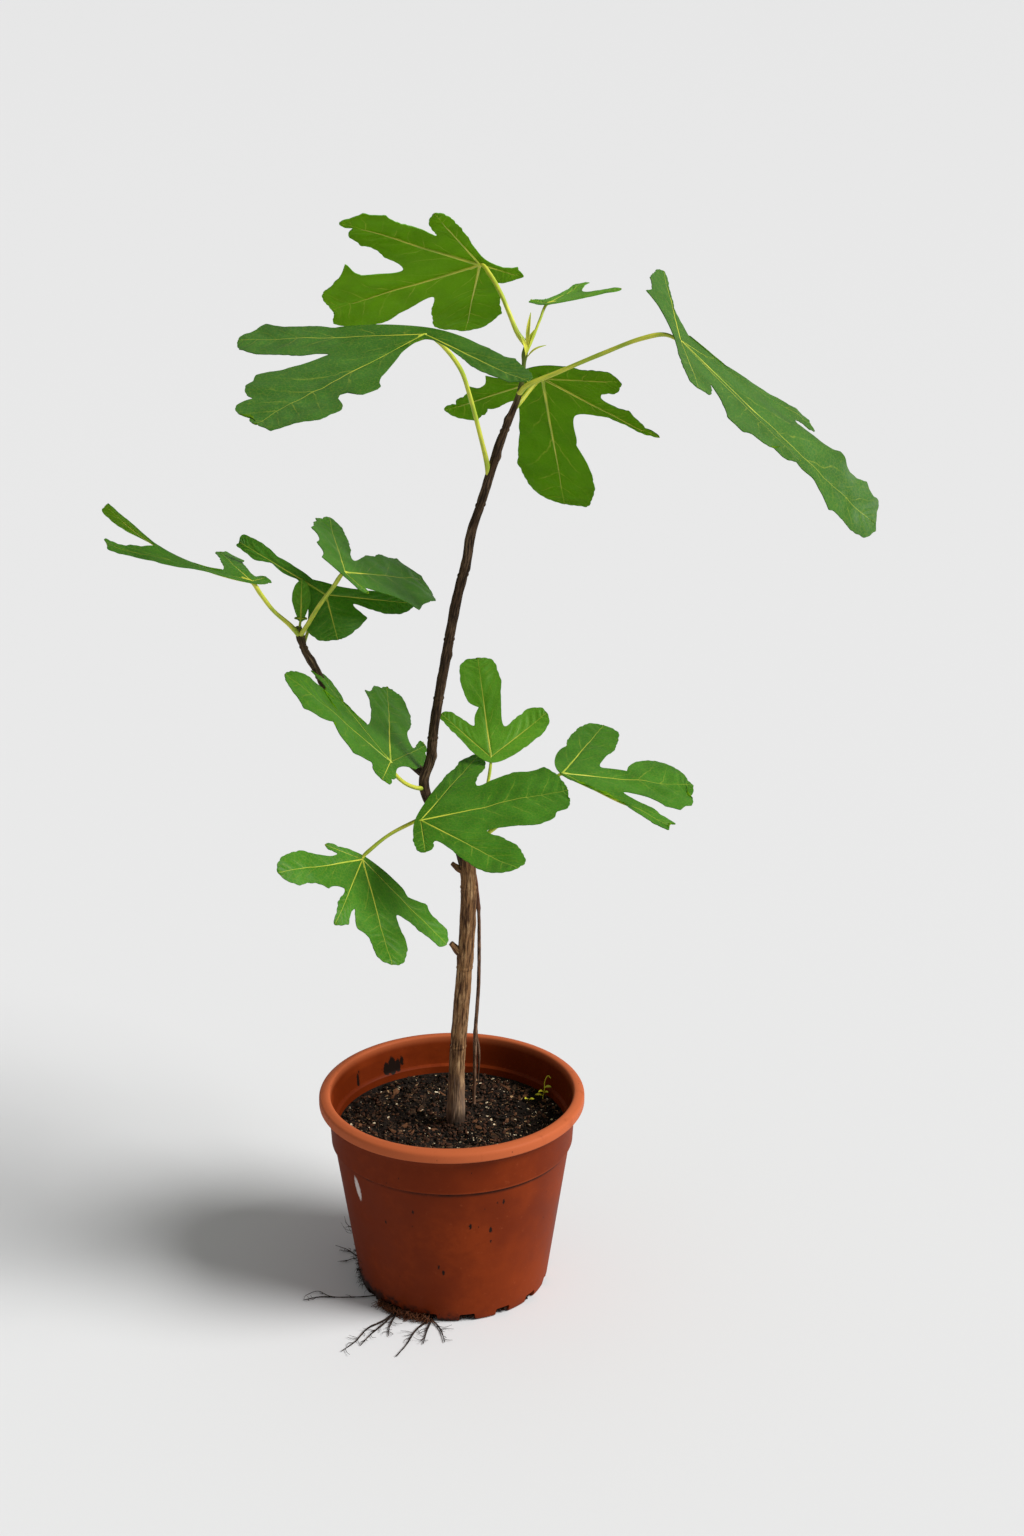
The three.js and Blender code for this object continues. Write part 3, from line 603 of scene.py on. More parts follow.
@dataclass(frozen=True)
class Compost:
    """Dark moist compost, one tone of its crumbs, chips or flecks."""

    name: str
    tone: Colour
    other: Colour
    roughness: float = 0.9
    shine: float = 0.12
    mottle: Grain = Grain(420.0, 4.0, 0.7)
    crumb: Grain = Grain(1500.0, 3.0, 0.7)

    def build(self) -> Material:
        """Makes the material.

        Returns:
            The finished material.
        """
        sheet = Sheet(self.name, self.tone)
        sheet.stain(self.other, sheet.cloud(self.mottle), (0.38, 0.66))
        return sheet.coat(self.roughness, self.shine, sheet.bump(sheet.cloud(self.crumb), 0.6, 0.5))


@dataclass(frozen=True)
class Bark:
    """Fibrous bark in three tones that run along the limb, with a paler foot and a green head."""

    name: str
    dark: Colour
    mid: Colour
    pale: Colour
    foot: Colour
    foot_heights: Flat
    head: Colour
    head_heights: Flat
    grain: float = 520.0
    stretch: float = 0.10
    roughness: float = 0.82
    shine: float = 0.16
    soil: Colour = (0.030, 0.016, 0.010)
    soil_height: float = -100.0
    patches: Grain = Grain(150.0, 4.0, 0.6, 0.35)

    def build(self) -> Material:
        """Makes the material.

        Returns:
            The finished material.
        """
        sheet = Sheet(self.name, self.dark)
        height, limb = sheet.axes["Z"], sheet.attribute("limb")
        fibre = sheet.cloud(Grain(self.grain, 5.0, 0.68, self.stretch), limb)
        patch = sheet.cloud(self.patches, limb)
        sheet.stain(self.mid, fibre, (0.36, 0.60))
        sheet.lay(sheet.times(sheet.ease(patch, 0.42, 0.68), sheet.ease(fibre, 0.44, 0.64)), self.pale)
        low, high = (value * MM for value in self.foot_heights)
        drift = sheet.maths("ADD", height, sheet.times(patch, 30.0 * MM))
        sheet.stain(self.foot, drift, (high + 15.0 * MM, low), 0.8)
        low, high = (value * MM for value in self.head_heights)
        sheet.stain(self.head, height, (low, high))
        smear = sheet.maths("MULTIPLY_ADD", patch, -30.0 * MM, height)
        top = self.soil_height * MM
        sheet.stain(self.soil, smear, (top, top - 16.0 * MM), 0.92)
        crack = sheet.cloud(Grain(0.8 * self.grain, 4.0, 0.7, 0.5), limb)
        relief = sheet.maths("ADD", fibre, sheet.times(crack, 0.5))
        return sheet.coat(self.roughness, self.shine, sheet.bump(relief, 0.55, 0.6))


class LeafAge(Enum):
    """How old a leaf is, which sets its greens: its upper face, its dapple and its underside."""

    YOUNG = ((0.118, 0.330, 0.018), (0.086, 0.262, 0.010), (0.225, 0.490, 0.005))
    GROWN = ((0.062, 0.212, 0.013), (0.042, 0.160, 0.007), (0.176, 0.415, 0.004))
    OLD = ((0.054, 0.168, 0.019), (0.038, 0.130, 0.011), (0.120, 0.290, 0.005))


SIDE_VEINS = 8.0
VEIN_SWEEP = 0.17


@dataclass(frozen=True)
class LeafSkin:
    """One face of a leaf: its greens, its yellow veins and the light that comes through it."""

    name: str
    green: Colour
    dapple: Colour
    vein: Colour
    vein_width: float
    side_strength: float
    roughness: float
    through: Colour
    glow: float
    shine: float = 0.20
    patches: Grain = Grain(38.0, 4.0)
    fine: Grain = Grain(420.0, 3.0, 0.6)
    net_fineness: float = 300.0
    stray: Grain = Grain(60.0, 2.0)
    gaps: Grain = Grain(90.0, 2.0)

    def build(self) -> Material:
        """Makes the material.

        Returns:
            The finished material.
        """
        sheet = Sheet(self.name, self.green)
        run, share = sheet.map("run"), sheet.map("share")
        sheet.stain(self.dapple, sheet.cloud(self.patches), (0.34, 0.66))
        fine = sheet.cloud(self.fine)
        sheet.stain(self.dapple, fine, (0.45, 0.75), 0.35)
        net = sheet.ease(sheet.cells(sheet.place, self.net_fineness, "DISTANCE_TO_EDGE"), 0.10, 0.0)
        side = self.side_veins(sheet, share["X"], share["Y"])
        width = sheet.ease(run["Y"], 0.0, 0.92, self.vein_width * MM, 0.02 * MM)
        off = sheet.maths("SUBTRACT", sheet.maths("ABSOLUTE", run["X"]), width)
        main = sheet.ease(off, 0.30 * MM, -0.12 * MM)
        for mask in (sheet.times(net, 0.10), sheet.times(side, self.side_strength), main):
            sheet.lay(mask, self.vein)
        height = sheet.maths("ADD", sheet.times(net, 0.35), sheet.maths("ADD", side, fine))
        normal = sheet.bump(height, 0.35, 0.35)
        skin = sheet.skin(self.roughness, self.shine, normal)
        tint = sheet.blend(sheet.maths("MAXIMUM", main, sheet.times(side, 0.5)), self.through, self.vein)
        glow = sheet.add("BsdfTranslucent", {"Color": tint, "Normal": normal}).outputs["BSDF"]
        return sheet.done(sheet.add("MixShader", {0: self.glow, 1: skin, 2: glow}).outputs[0])

    def side_veins(self, sheet: Sheet, out: Value, across: Value) -> Socket:
        """Masks the side veins, which leave the midvein in pairs and sweep towards the tip.

        Args:
            sheet: the node sheet.
            out: the share of the lobe's run from junction to tip.
            across: the share of the half-lobe's width from midvein to margin.

        Returns:
            1 on a vein, 0 between veins.
        """
        bent = sheet.maths("SUBTRACT", out, sheet.times(across, VEIN_SWEEP))
        stray = sheet.times(sheet.cloud(self.stray), 0.05)
        phase = sheet.times(sheet.maths("ADD", bent, stray), SIDE_VEINS)
        off = sheet.maths("ABSOLUTE", sheet.maths("SUBTRACT", sheet.maths("FRACT", phase), 0.5))
        line = sheet.ease(off, 0.050, 0.012)
        kept = sheet.times(line, sheet.ease(across, 0.85, 0.25, 0.1, 1.0))
        broken = sheet.ease(sheet.cloud(self.gaps), 0.40, 0.58, 0.25, 1.0)
        return sheet.times(kept, broken)


@dataclass(frozen=True)
class StalkSkin:
    """Smooth yellow-green skin of leaf stalks and ribs, streaked along the stalk."""

    name: str = "stalk_skin"
    yellow: Colour = (0.60, 0.60, 0.060)
    green: Colour = (0.33, 0.44, 0.032)
    roughness: float = 0.42
    shine: float = 0.30
    streaks: Grain = Grain(700.0, drawn=0.08)
    patches: Grain = Grain(45.0, 2.0)

    def build(self) -> Material:
        """Makes the material.

        Returns:
            The finished material.
        """
        sheet = Sheet(self.name, self.yellow)
        streak = sheet.cloud(self.streaks, sheet.attribute("limb"))
        both = sheet.times(sheet.maths("ADD", streak, sheet.cloud(self.patches)), 0.5)
        sheet.stain(self.green, both, (0.42, 0.60))
        return sheet.coat(self.roughness, self.shine, sheet.bump(streak, 0.25, 0.2))


@dataclass(frozen=True)
class PlainFloor:
    """A plain pale studio floor."""

    tone: Colour = (0.72, 0.72, 0.72)

    def build(self) -> Material:
        """Makes the material.

        Returns:
            The finished material.
        """
        sheet = Sheet("plain_floor", self.tone)
        return sheet.done(sheet.add("BsdfPrincipled", {"Base Color": self.tone, "Roughness": 0.9}).outputs[0])


# ---- pot ----


def draw_up(radius: float, height: float, stations: Sequence[Flat]) -> None:
    """Extrudes the selected round cap from station to station, as a wall is drawn up.

    Args:
        radius: the cap's radius now.
        height: the cap's height now.
        stations: the radius and height of each next ring.
    """
    for next_radius, next_height in stations:
        rise = {"value": (0.0, 0.0, (next_height - height) * MM)}
        bpy.ops.mesh.extrude_region_move(TRANSFORM_OT_translate=rise)
        factor = next_radius / radius
        bpy.ops.transform.resize(value=(factor, factor, 1.0), center_override=(0.0, 0.0, next_height * MM))
        radius, height = next_radius, next_height


def arc(centre: Flat, size: float, start: float, end: float, steps: int) -> list[Flat]:
    """Stations along a round corner of the profile.

    Args:
        centre: the arc's centre, a radius and a height.
        size: the arc's own radius.
        start: its first angle in degrees, 0 outwards and 90 up.
        end: its last angle.
        steps: how many stretches it has.

    Returns:
        The stations, both ends included.
    """
    turns = [math.radians(start + (end - start) * k / steps) for k in range(steps + 1)]
    return [(centre[0] + size * math.cos(t), centre[1] + size * math.sin(t)) for t in turns]


@dataclass
class NurseryPot:
    """The moulded pot: tapered body, step, band, rolled lip, inner ledge and drain notches."""

    height: float = 189.0
    lip_radius: float = 120.0
    lip_height: float = 11.0
    lip_inner_radius: float = 110.0
    band_radius: float = 111.5
    band_foot_radius: float = 109.5
    step_drop: float = 46.5
    step_width: float = 2.2
    base_radius: float = 86.3
    wall: float = 2.8
    floor: float = 3.0
    ledge_height: float = 160.0
    ledge_radius: float = 104.0
    drain_count: int = 16
    drain_width: float = 14.0
    drain_height: float = 8.0
    drain_depth: float = 22.0
    drain_first_angle: float = 212.0
    segments: int = 160

    def body_radius(self, z: float) -> float:
        """Outer radius of the tapering body at height z."""
        share = z / (self.height - self.step_drop)
        return self.base_radius + (self.band_foot_radius - self.step_width - self.base_radius) * share

    def inner_radius(self, z: float) -> float:
        """Inner radius of the body at height z."""
        return min(self.body_radius(z) - self.wall, self.ledge_radius)

    def stations(self) -> list[Flat]:
        """Lists the profile from the foot, over the lip and down inside to the floor.

        Returns:
            The radius and height of each ring.
        """
        top, lip_z, step_z = self.height, self.height - self.lip_height, self.height - self.step_drop
        lip, inside = self.lip_radius, self.lip_inner_radius
        band, foot = self.band_radius, self.band_foot_radius
        ledge, ledge_z, floor = self.ledge_radius, self.ledge_height, self.floor
        return [
            *arc((self.base_radius - 3.4, 3.6), 3.6, -80.0, 0.0, 4),
            *((self.body_radius(z), z) for z in np.linspace(6.0, step_z - 2.0, 9)),
            (self.body_radius(step_z) - 0.2, step_z - 0.5),
            (foot - 0.4, step_z - 0.2),
            (foot, step_z + 0.2),
            (foot + 0.5, step_z + 9.0),
            (band - 0.5, lip_z - 9.0),
            (band, lip_z - 2.2),
            (band + 0.9, lip_z - 1.1),
            (lip - 2.2, lip_z - 0.2),
            *arc((lip - 1.9, lip_z + 1.7), 1.9, -70.0, 0.0, 4),
            *arc((lip - 3.6, top - 4.6), 3.6, 0.0, 62.0, 5),
            (lip - 4.4, top - 0.4),
            (lip - 5.8, top),
            *arc((inside + 2.4, top - 2.4), 2.4, 90.0, 180.0, 4),
            (inside - 0.9, top - 7.0),
            (inside - 2.4, lip_z - 3.0),
            (ledge + 3.2, ledge_z + 3.6),
            (ledge + 2.7, ledge_z + 1.4),
            (ledge + 0.9, ledge_z + 0.5),
            (ledge, ledge_z - 0.6),
            (self.inner_radius(step_z - 6.0), step_z - 6.0),
            (self.inner_radius(40.0), 40.0),
            (self.inner_radius(floor + 2.0), floor + 2.0),
            (self.inner_radius(floor) - 1.6, floor),
            (self.base_radius - self.drain_depth - 6.0, floor),
        ]

    def shell(self) -> Piece:
        """Draws the wall up from the underside as one closed solid.

        Returns:
            The pot without its drain notches.
        """
        start = self.base_radius - 6.0
        deselect()
        bpy.ops.mesh.primitive_circle_add(
            vertices=self.segments, radius=start * MM, fill_type="NGON", location=(0.0, 0.0, 0.0)
        )
        pot = named("nursery_pot")
        with editing(pot):
            draw_up(start, 0.0, self.stations())
            bpy.ops.mesh.remove_doubles(threshold=1e-6)
            bpy.ops.mesh.normals_make_consistent(inside=False)
        return pot

    def notches(self) -> Piece:
        """Makes the ring of rounded blocks that cut the drain notches.

        Returns:
            The cutter.
        """
        deselect()
        bpy.ops.mesh.primitive_cube_add(size=1.0, location=(0.0, 0.0, 0.0))
        cutter = named("notch_cutter")
        angle = math.radians(self.drain_first_angle)
        centre = self.base_radius - self.drain_depth / 2 + 3.0
        with editing(cutter):
            size = (self.drain_depth * MM, self.drain_width * MM, 2.0 * self.drain_height * MM)
            bpy.ops.transform.resize(value=size, center_override=(0.0, 0.0, 0.0))
            bpy.ops.mesh.bevel(offset=1.6 * MM, segments=3)
            bpy.ops.transform.translate(value=(centre * MM, 0.0, 0.0))
        cutter.rotation_euler = (0.0, 0.0, angle)
        freeze(cutter)
        with editing(cutter):
            copies = self.drain_count - 1
            sweep = 2.0 * math.pi * copies / self.drain_count
            bpy.ops.mesh.spin(steps=copies, dupli=True, angle=sweep, center=(0, 0, 0), axis=(0, 0, 1))
            bpy.ops.mesh.normals_make_consistent(inside=False)
        return cutter

    def build(self) -> None:
        """Models and dresses the pot."""
        pot = self.shell()
        cutter = self.notches()
        modify(pot, "BOOLEAN", object=cutter, operation="DIFFERENCE", solver="EXACT")
        bpy.data.objects.remove(cutter)
        step_height, lip_foot = self.height - self.step_drop, self.height - self.lip_height
        plastic = PottingPlastic(self.lip_inner_radius, step_height, lip_foot)
        finish(pot, [plastic.build()], "pot", "pot", crease=38.0)


# ---- compost ----


RAY_START = 0.3


class Lumps:
    """Many small lumps in one mesh, each a squashed copy of one of three random shapes."""

    def __init__(self, seed: int) -> None:
        """Models the three shapes, each about 1 across.

        Args:
            seed: which random shapes they have.
        """
        self.shapes, self.points, self.faces, self.tones, self.count = [], [], [], [], 0
        for k in range(3):
            deselect()
            bpy.ops.mesh.primitive_ico_sphere_add(subdivisions=1, radius=0.5)
            lump = named("lump")
            with editing(lump):
                bpy.ops.transform.vertex_random(offset=0.16, seed=seed + k)
                bpy.ops.transform.resize(value=(1.25, 0.85, 0.9), center_override=(0.0, 0.0, 0.0))
            points = np.array([vertex.co[:] for vertex in lump.data.vertices])
            self.shapes.append((points, [tuple(face.vertices) for face in lump.data.polygons]))
            bpy.data.objects.remove(lump)

    def add(self, number: int, size: float | Point, turned: Matrix, place: Point, tone: int = 0) -> None:
        """Adds one lump.

        Args:
            number: its number, which picks its shape.
            size: how big it is, along all axes or along each.
            turned: its rotation.
            place: its centre.
            tone: the number of its material.
        """
        shape, faces = self.shapes[number % len(self.shapes)]
        self.points.append((shape * size) @ np.array(turned).T + place)
        self.faces.extend(tuple(self.count + k for k in face) for face in faces)
        self.tones.extend([tone] * len(faces))
        self.count += len(shape)

    def gather(self, name: str) -> Piece:
        """Makes the mesh of all the lumps.

        Args:
            name: the object's name.

        Returns:
            The joined lumps.
        """
        piece = from_arrays(name, np.vstack(self.points), self.faces)
        piece.data.polygons.foreach_set("material_index", self.tones)
        return piece


@dataclass(frozen=True)
class Heap:
    """A ring of loose bits heaped round a stem: its centre, its inner and outer radius, its rise."""

    at: Flat
    inner: float
    outer: float
    rise: float


@dataclass(frozen=True)
class Bits:
    """A spread of small loose bits: how many, how big, how flat, how deep and in which tones."""

    name: str
    count: int
    size: Flat
    squash: Flat
    sink: float
    seed: int
    tones: tuple[Compost, ...]
    heap: Heap | None = None

    def spot(self, draw: np.random.Generator, edge: float) -> Point:
        """Draws where a bit lies: anywhere on the bed, or heaped round a stem.

        Args:
            draw: the random draws.
            edge: the bed's radius.

        Returns:
            Its place to the right and away, and how far it is heaped up.
        """
        share, turn = draw.uniform(0.0, 1.0), draw.uniform(0.0, 2.0 * math.pi)
        if self.heap is None:
            radius = edge * math.sqrt(share)
            return radius * math.cos(turn), radius * math.sin(turn), 0.0
        x, y = self.heap.at
        radius = self.heap.inner + (self.heap.outer - self.heap.inner) * share
        rise = self.heap.rise * (1.0 - share) ** 1.5
        return x + radius * math.cos(turn), y + radius * math.sin(turn), rise


@dataclass
class CompostBed:
    """The planted surface: lumpy compost that fills the pot, with loose crumbs and flecks."""

    pot: NurseryPot
    tone: Compost = Compost("compost", (0.004, 0.003, 0.002), (0.022, 0.013, 0.009))
    level: float = 153.0
    swell: float = 1.6
    gap: float = 0.4
    trunk_at: Flat = (3.0, 0.0)
    trunk_radius: float = 7.5
    trunk_level: Flat = (12.0, 27.0)
    shoot_at: Flat = (20.0, 37.0)
    shoot_level: Flat = (9.0, 22.0)
    wall_level: float = 12.0
    rim_gap: float = 2.0
    segments: int = 200
    ring_step: float = 1.7
    bits: tuple[Bits, ...] = (
        Bits("compost_crumbs", 5400, (1.0, 4.4), (0.55, 1.0), 0.15, 11, (
            Compost("crumb_black", (0.005, 0.004, 0.003), (0.016, 0.011, 0.007)),
            Compost("crumb_brown", (0.020, 0.012, 0.008), (0.050, 0.029, 0.018)),
            Compost("crumb_red", (0.046, 0.019, 0.010), (0.095, 0.042, 0.023)),
        )),
        Bits("bark_chips", 460, (2.2, 8.0), (0.16, 0.34), 0.1, 23, (
            Compost("chip_brown", (0.030, 0.016, 0.009), (0.085, 0.045, 0.024)),
            Compost("chip_rust", (0.090, 0.036, 0.016), (0.180, 0.080, 0.036)),
        )),
        Bits("pale_flecks", 1250, (0.9, 4.2), (0.16, 0.42), 0.0, 37, (
            Compost("fleck_cream", (0.58, 0.44, 0.27), (0.78, 0.66, 0.46)),
            Compost("fleck_tan", (0.28, 0.160, 0.075), (0.46, 0.29, 0.145)),
            Compost("fleck_brown", (0.11, 0.058, 0.028), (0.22, 0.125, 0.066)),
        )),
        Bits("trunk_crumbs", 420, (1.4, 4.6), (0.5, 1.0), 0.3, 41, (
            Compost("heap_black", (0.005, 0.004, 0.003), (0.018, 0.012, 0.008)),
            Compost("heap_brown", (0.020, 0.012, 0.008), (0.050, 0.029, 0.018)),
            Compost("heap_red", (0.046, 0.019, 0.010), (0.095, 0.042, 0.023)),
        ), Heap((3.0, 0.0), 8.4, 20.0, 5.0)),
        Bits("shoot_crumbs", 110, (1.2, 3.2), (0.5, 1.0), 0.3, 43, (
            Compost("mound_black", (0.005, 0.004, 0.003), (0.018, 0.012, 0.008)),
            Compost("mound_brown", (0.020, 0.012, 0.008), (0.050, 0.029, 0.018)),
        ), Heap((19.0, 35.0), 1.6, 9.0, 3.0)),
    )

    def height_at(self, x: Array, y: Array) -> Array:
        """Height of the surface: gentle lumps that die out at the stems and the wall.

        Args:
            x: places to the right.
            y: places away.

        Returns:
            The heights.
        """
        lumps = (
            np.sin(0.085 * x + 1.1) * np.cos(0.07 * y - 0.4)
            + 0.6 * np.sin(0.19 * x - 0.13 * y + 2.3)
            + 0.4 * np.cos(0.16 * y + 0.21 * x)
        )
        wall = smoothstep(self.pot.ledge_radius - np.hypot(x, y), 0.0, self.wall_level)
        stem = smoothstep(np.hypot(x - self.trunk_at[0], y - self.trunk_at[1]), *self.trunk_level)
        shoot = smoothstep(np.hypot(x - self.shoot_at[0], y - self.shoot_at[1]), *self.shoot_level)
        return self.level + self.swell * lumps * wall * stem * shoot

    def body(self) -> Piece:
        """Draws the fill up from the pot's floor and in over the surface, then roughens it.

        Returns:
            The bed as one closed solid.
        """
        foot = self.pot.floor + self.gap
        shoulder = self.pot.height - self.pot.step_drop - 6.0
        start = self.pot.inner_radius(foot) - self.gap
        edge = self.pot.inner_radius(self.level) - self.gap
        rings = [(radius, self.level) for radius in np.arange(edge, 2.0, -self.ring_step)]
        deselect()
        bpy.ops.mesh.primitive_circle_add(
            vertices=self.segments, radius=start * MM, fill_type="NGON", location=(0.0, 0.0, foot * MM)
        )
        bed = named("compost_bed")
        freeze(bed)
        with editing(bed):
            draw_up(start, foot, [(self.pot.inner_radius(shoulder) - self.gap, shoulder), *rings])
            bpy.ops.mesh.normals_make_consistent(inside=False)
        self.roughen(bed, edge)
        return bed

    def roughen(self, bed: Piece, edge: float) -> None:
        """Lifts the surface by the lumps' rule and by clods of three sizes.

        Args:
            bed: the bed, level on top.
            edge: the radius of its rim.
        """
        mesh = bed.data
        places = np.empty(len(mesh.vertices) * 3)
        mesh.vertices.foreach_get("co", places)
        places = places.reshape(-1, 3) / MM
        top = places[:, 2] > self.level - 1.0
        lifted = self.height_at(places[top, 0], places[top, 1])
        hold = smoothstep(edge - np.hypot(places[top, 0], places[top, 1]), 0.0, 3.0)
        clods = []
        for x, y in places[top, :2]:
            broad = noise.fractal(Vector((x / 11.0, y / 11.0, 3.1)), 1.0, 2.0, 3)
            crumb = noise.turbulence(Vector((x / 3.4, y / 3.4, 7.7)), 3, False)
            clods.append(1.8 * broad + 2.0 * crumb - 0.9)
        places[top, 2] = lifted + np.array(clods) * hold
        mesh.vertices.foreach_set("co", (places * MM).ravel())
        mesh.update()

    def strew(self, bed: Piece, bits: Bits) -> None:
        """Strews one kind of bits over the bed.

        Args:
            bed: the finished bed.
            bits: what to strew.
        """
        draw = np.random.default_rng(bits.seed)
        lumps = Lumps(bits.seed)
        edge = self.pot.ledge_radius - self.rim_gap
        for number in range(bits.count):
            x, y, heaped = bits.spot(draw, edge)
            size = bits.size[0] + (bits.size[1] - bits.size[0]) * draw.uniform(0.0, 1.0) ** 3
            flat = draw.uniform(*bits.squash)
            tilt, lean, spin = draw.normal(0.0, 0.35), draw.normal(0.0, 0.35), draw.uniform(0.0, 6.28)
            tone = int(draw.integers(len(bits.tones)))
            in_trunk = math.hypot(x - self.trunk_at[0], y - self.trunk_at[1]) < self.trunk_radius
            if in_trunk or math.hypot(x, y) + size / 2 > edge + 1.0:
                continue
            hit, place, _, _ = bed.ray_cast(Vector((x * MM, y * MM, RAY_START)), Vector((0.0, 0.0, -1.0)))
            if not hit:
                continue
            turned = Matrix.Rotation(spin, 3, "Z") @ Matrix.Rotation(tilt, 3, "X")
            turned = turned @ Matrix.Rotation(lean, 3, "Y")
            lift = place.z / MM + size * flat * (0.5 - bits.sink) + heaped
            lumps.add(number, (size, size * draw.uniform(0.55, 1.0), size * flat), turned, (x, y, lift), tone)
        finish(lumps.gather(bits.name), [tone.build() for tone in bits.tones], "soil", crease=30.0)

    def build(self) -> None:
        """Models and dresses the bed and strews its bits."""
        bed = self.body()
        finish(bed, [self.tone.build()], "soil", "soil", crease=60.0)
        for bits in self.bits:
            self.strew(bed, bits)


# ---- wood ----


@dataclass(frozen=True)
class Knot:
    """A swelling on a limb: where it is, how high it stands and how far it spreads."""

    at: Point
    height: float
    spread: float


@dataclass
class Limb:
    """A limb with the relief of its bark: ridged fibres, lumps, ring scars and knots."""

    name: str
    node: str
    slot: str
    runs: tuple[tuple[Sequence, Sequence[float]], ...]
    bark: Bark
    sides: int = 64
    pitch: float = 1.0
    fibre: float = 0.45
    fibre_width: float = 2.2
    fibre_length: float = 18.0
    lump: float = 0.35
    lump_size: float = 13.0
    thread_width: float = 0.9
    thread_length: float = 7.0
    sway_width: float = 9.0
    sway_length: float = 30.0
    full_radius: float = 4.0
    knots: tuple[Knot, ...] = ()
    scars: tuple[float, ...] = ()
    scar_height: float = 0.45
    scar_width: float = 1.1
    seed: float = 0.0

    def relief(self, base: Array, unbent: Array, radius: Array) -> Array:
        """Height of the bark above the smooth limb.

        Args:
            base: each point on the smooth limb.
            unbent: its place on the limb as if straight.
            radius: the limb's radius there.

        Returns:
            The height at each point.
        """
        thin = np.minimum(radius / self.full_radius, 1.0)
        width, length, seed, size = self.fibre_width, self.fibre_length, self.seed, self.lump_size
        heights = np.empty(radius.shape)
        for index in np.ndindex(radius.shape):
            x, y, z = unbent[index]
            across, away = x / self.sway_width, y / self.sway_width
            bent = noise.noise(Vector((across, away, z / self.sway_length + seed)))
            strand = noise.noise(Vector((x / width + bent, y / width, z / length + seed)))
            across, away = x / self.thread_width, y / self.thread_width
            thread = noise.noise(Vector((across, away + seed, z / self.thread_length)))
            lump = noise.noise(Vector((x / size, y / size, z / size - seed)))
            ridge = 1.0 - 2.2 * abs(strand)
            heights[index] = self.fibre * (ridge - 0.4) + 0.3 * self.fibre * thread + self.lump * lump
        heights *= thin
        for knot in self.knots:
            away = np.linalg.norm(base - np.array(knot.at), axis=-1)
            heights += knot.height * np.exp(-((away / knot.spread) ** 2))
        for scar in self.scars:
            off = np.abs(base[..., 2] - scar)
            heights += self.scar_height * np.exp(-((off / self.scar_width) ** 2))
            heights -= 0.3 * np.exp(-(((off - 2.0) / 0.8) ** 2))
        return heights

    def build(self) -> None:
        """Models and dresses the limb."""
        runs = []
        for number, (path, radii) in enumerate(self.runs):
            sides = self.sides if number == 0 else max(self.sides // 2, 12)
            runs.append(Sweep(path, radii, sides, self.pitch).build(f"{self.name}_{number}", self.relief))
        finish(join(runs, self.name), [self.bark.build()], self.slot, self.node)


STEM_BARK = Bark(
    "stem_bark_finish",
    dark=(0.040, 0.016, 0.007), mid=(0.225, 0.112, 0.045), pale=(0.500, 0.320, 0.160),
    foot=(0.270, 0.190, 0.135), foot_heights=(150.0, 232.0),
    head=(0.082, 0.034, 0.015), head_heights=(395.0, 460.0),
    soil_height=158.0,
)
SHOOT_BARK = Bark(
    "shoot_bark_finish",
    dark=(0.014, 0.008, 0.004), mid=(0.060, 0.033, 0.016), pale=(0.170, 0.108, 0.062),
    foot=(0.070, 0.040, 0.021), foot_heights=(395.0, 425.0),
    head=(0.105, 0.150, 0.022), head_heights=(806.0, 846.0),
    grain=700.0,
)
BOUGH_BARK = Bark(
    "bough_bark_finish",
    dark=(0.014, 0.009, 0.004), mid=(0.062, 0.036, 0.017), pale=(0.170, 0.120, 0.062),
    foot=(0.070, 0.040, 0.021), foot_heights=(470.0, 492.0),
    head=(0.110, 0.125, 0.024), head_heights=(608.0, 628.0),
    grain=700.0,
)
DEAD_BARK = Bark(
    "dead_wood_finish",
    dark=(0.040, 0.024, 0.014), mid=(0.165, 0.080, 0.044), pale=(0.380, 0.240, 0.150),
    foot=(0.170, 0.095, 0.056), foot_heights=(150.0, 190.0),
    head=(0.170, 0.062, 0.034), head_heights=(340.0, 405.0),
    grain=900.0,
)


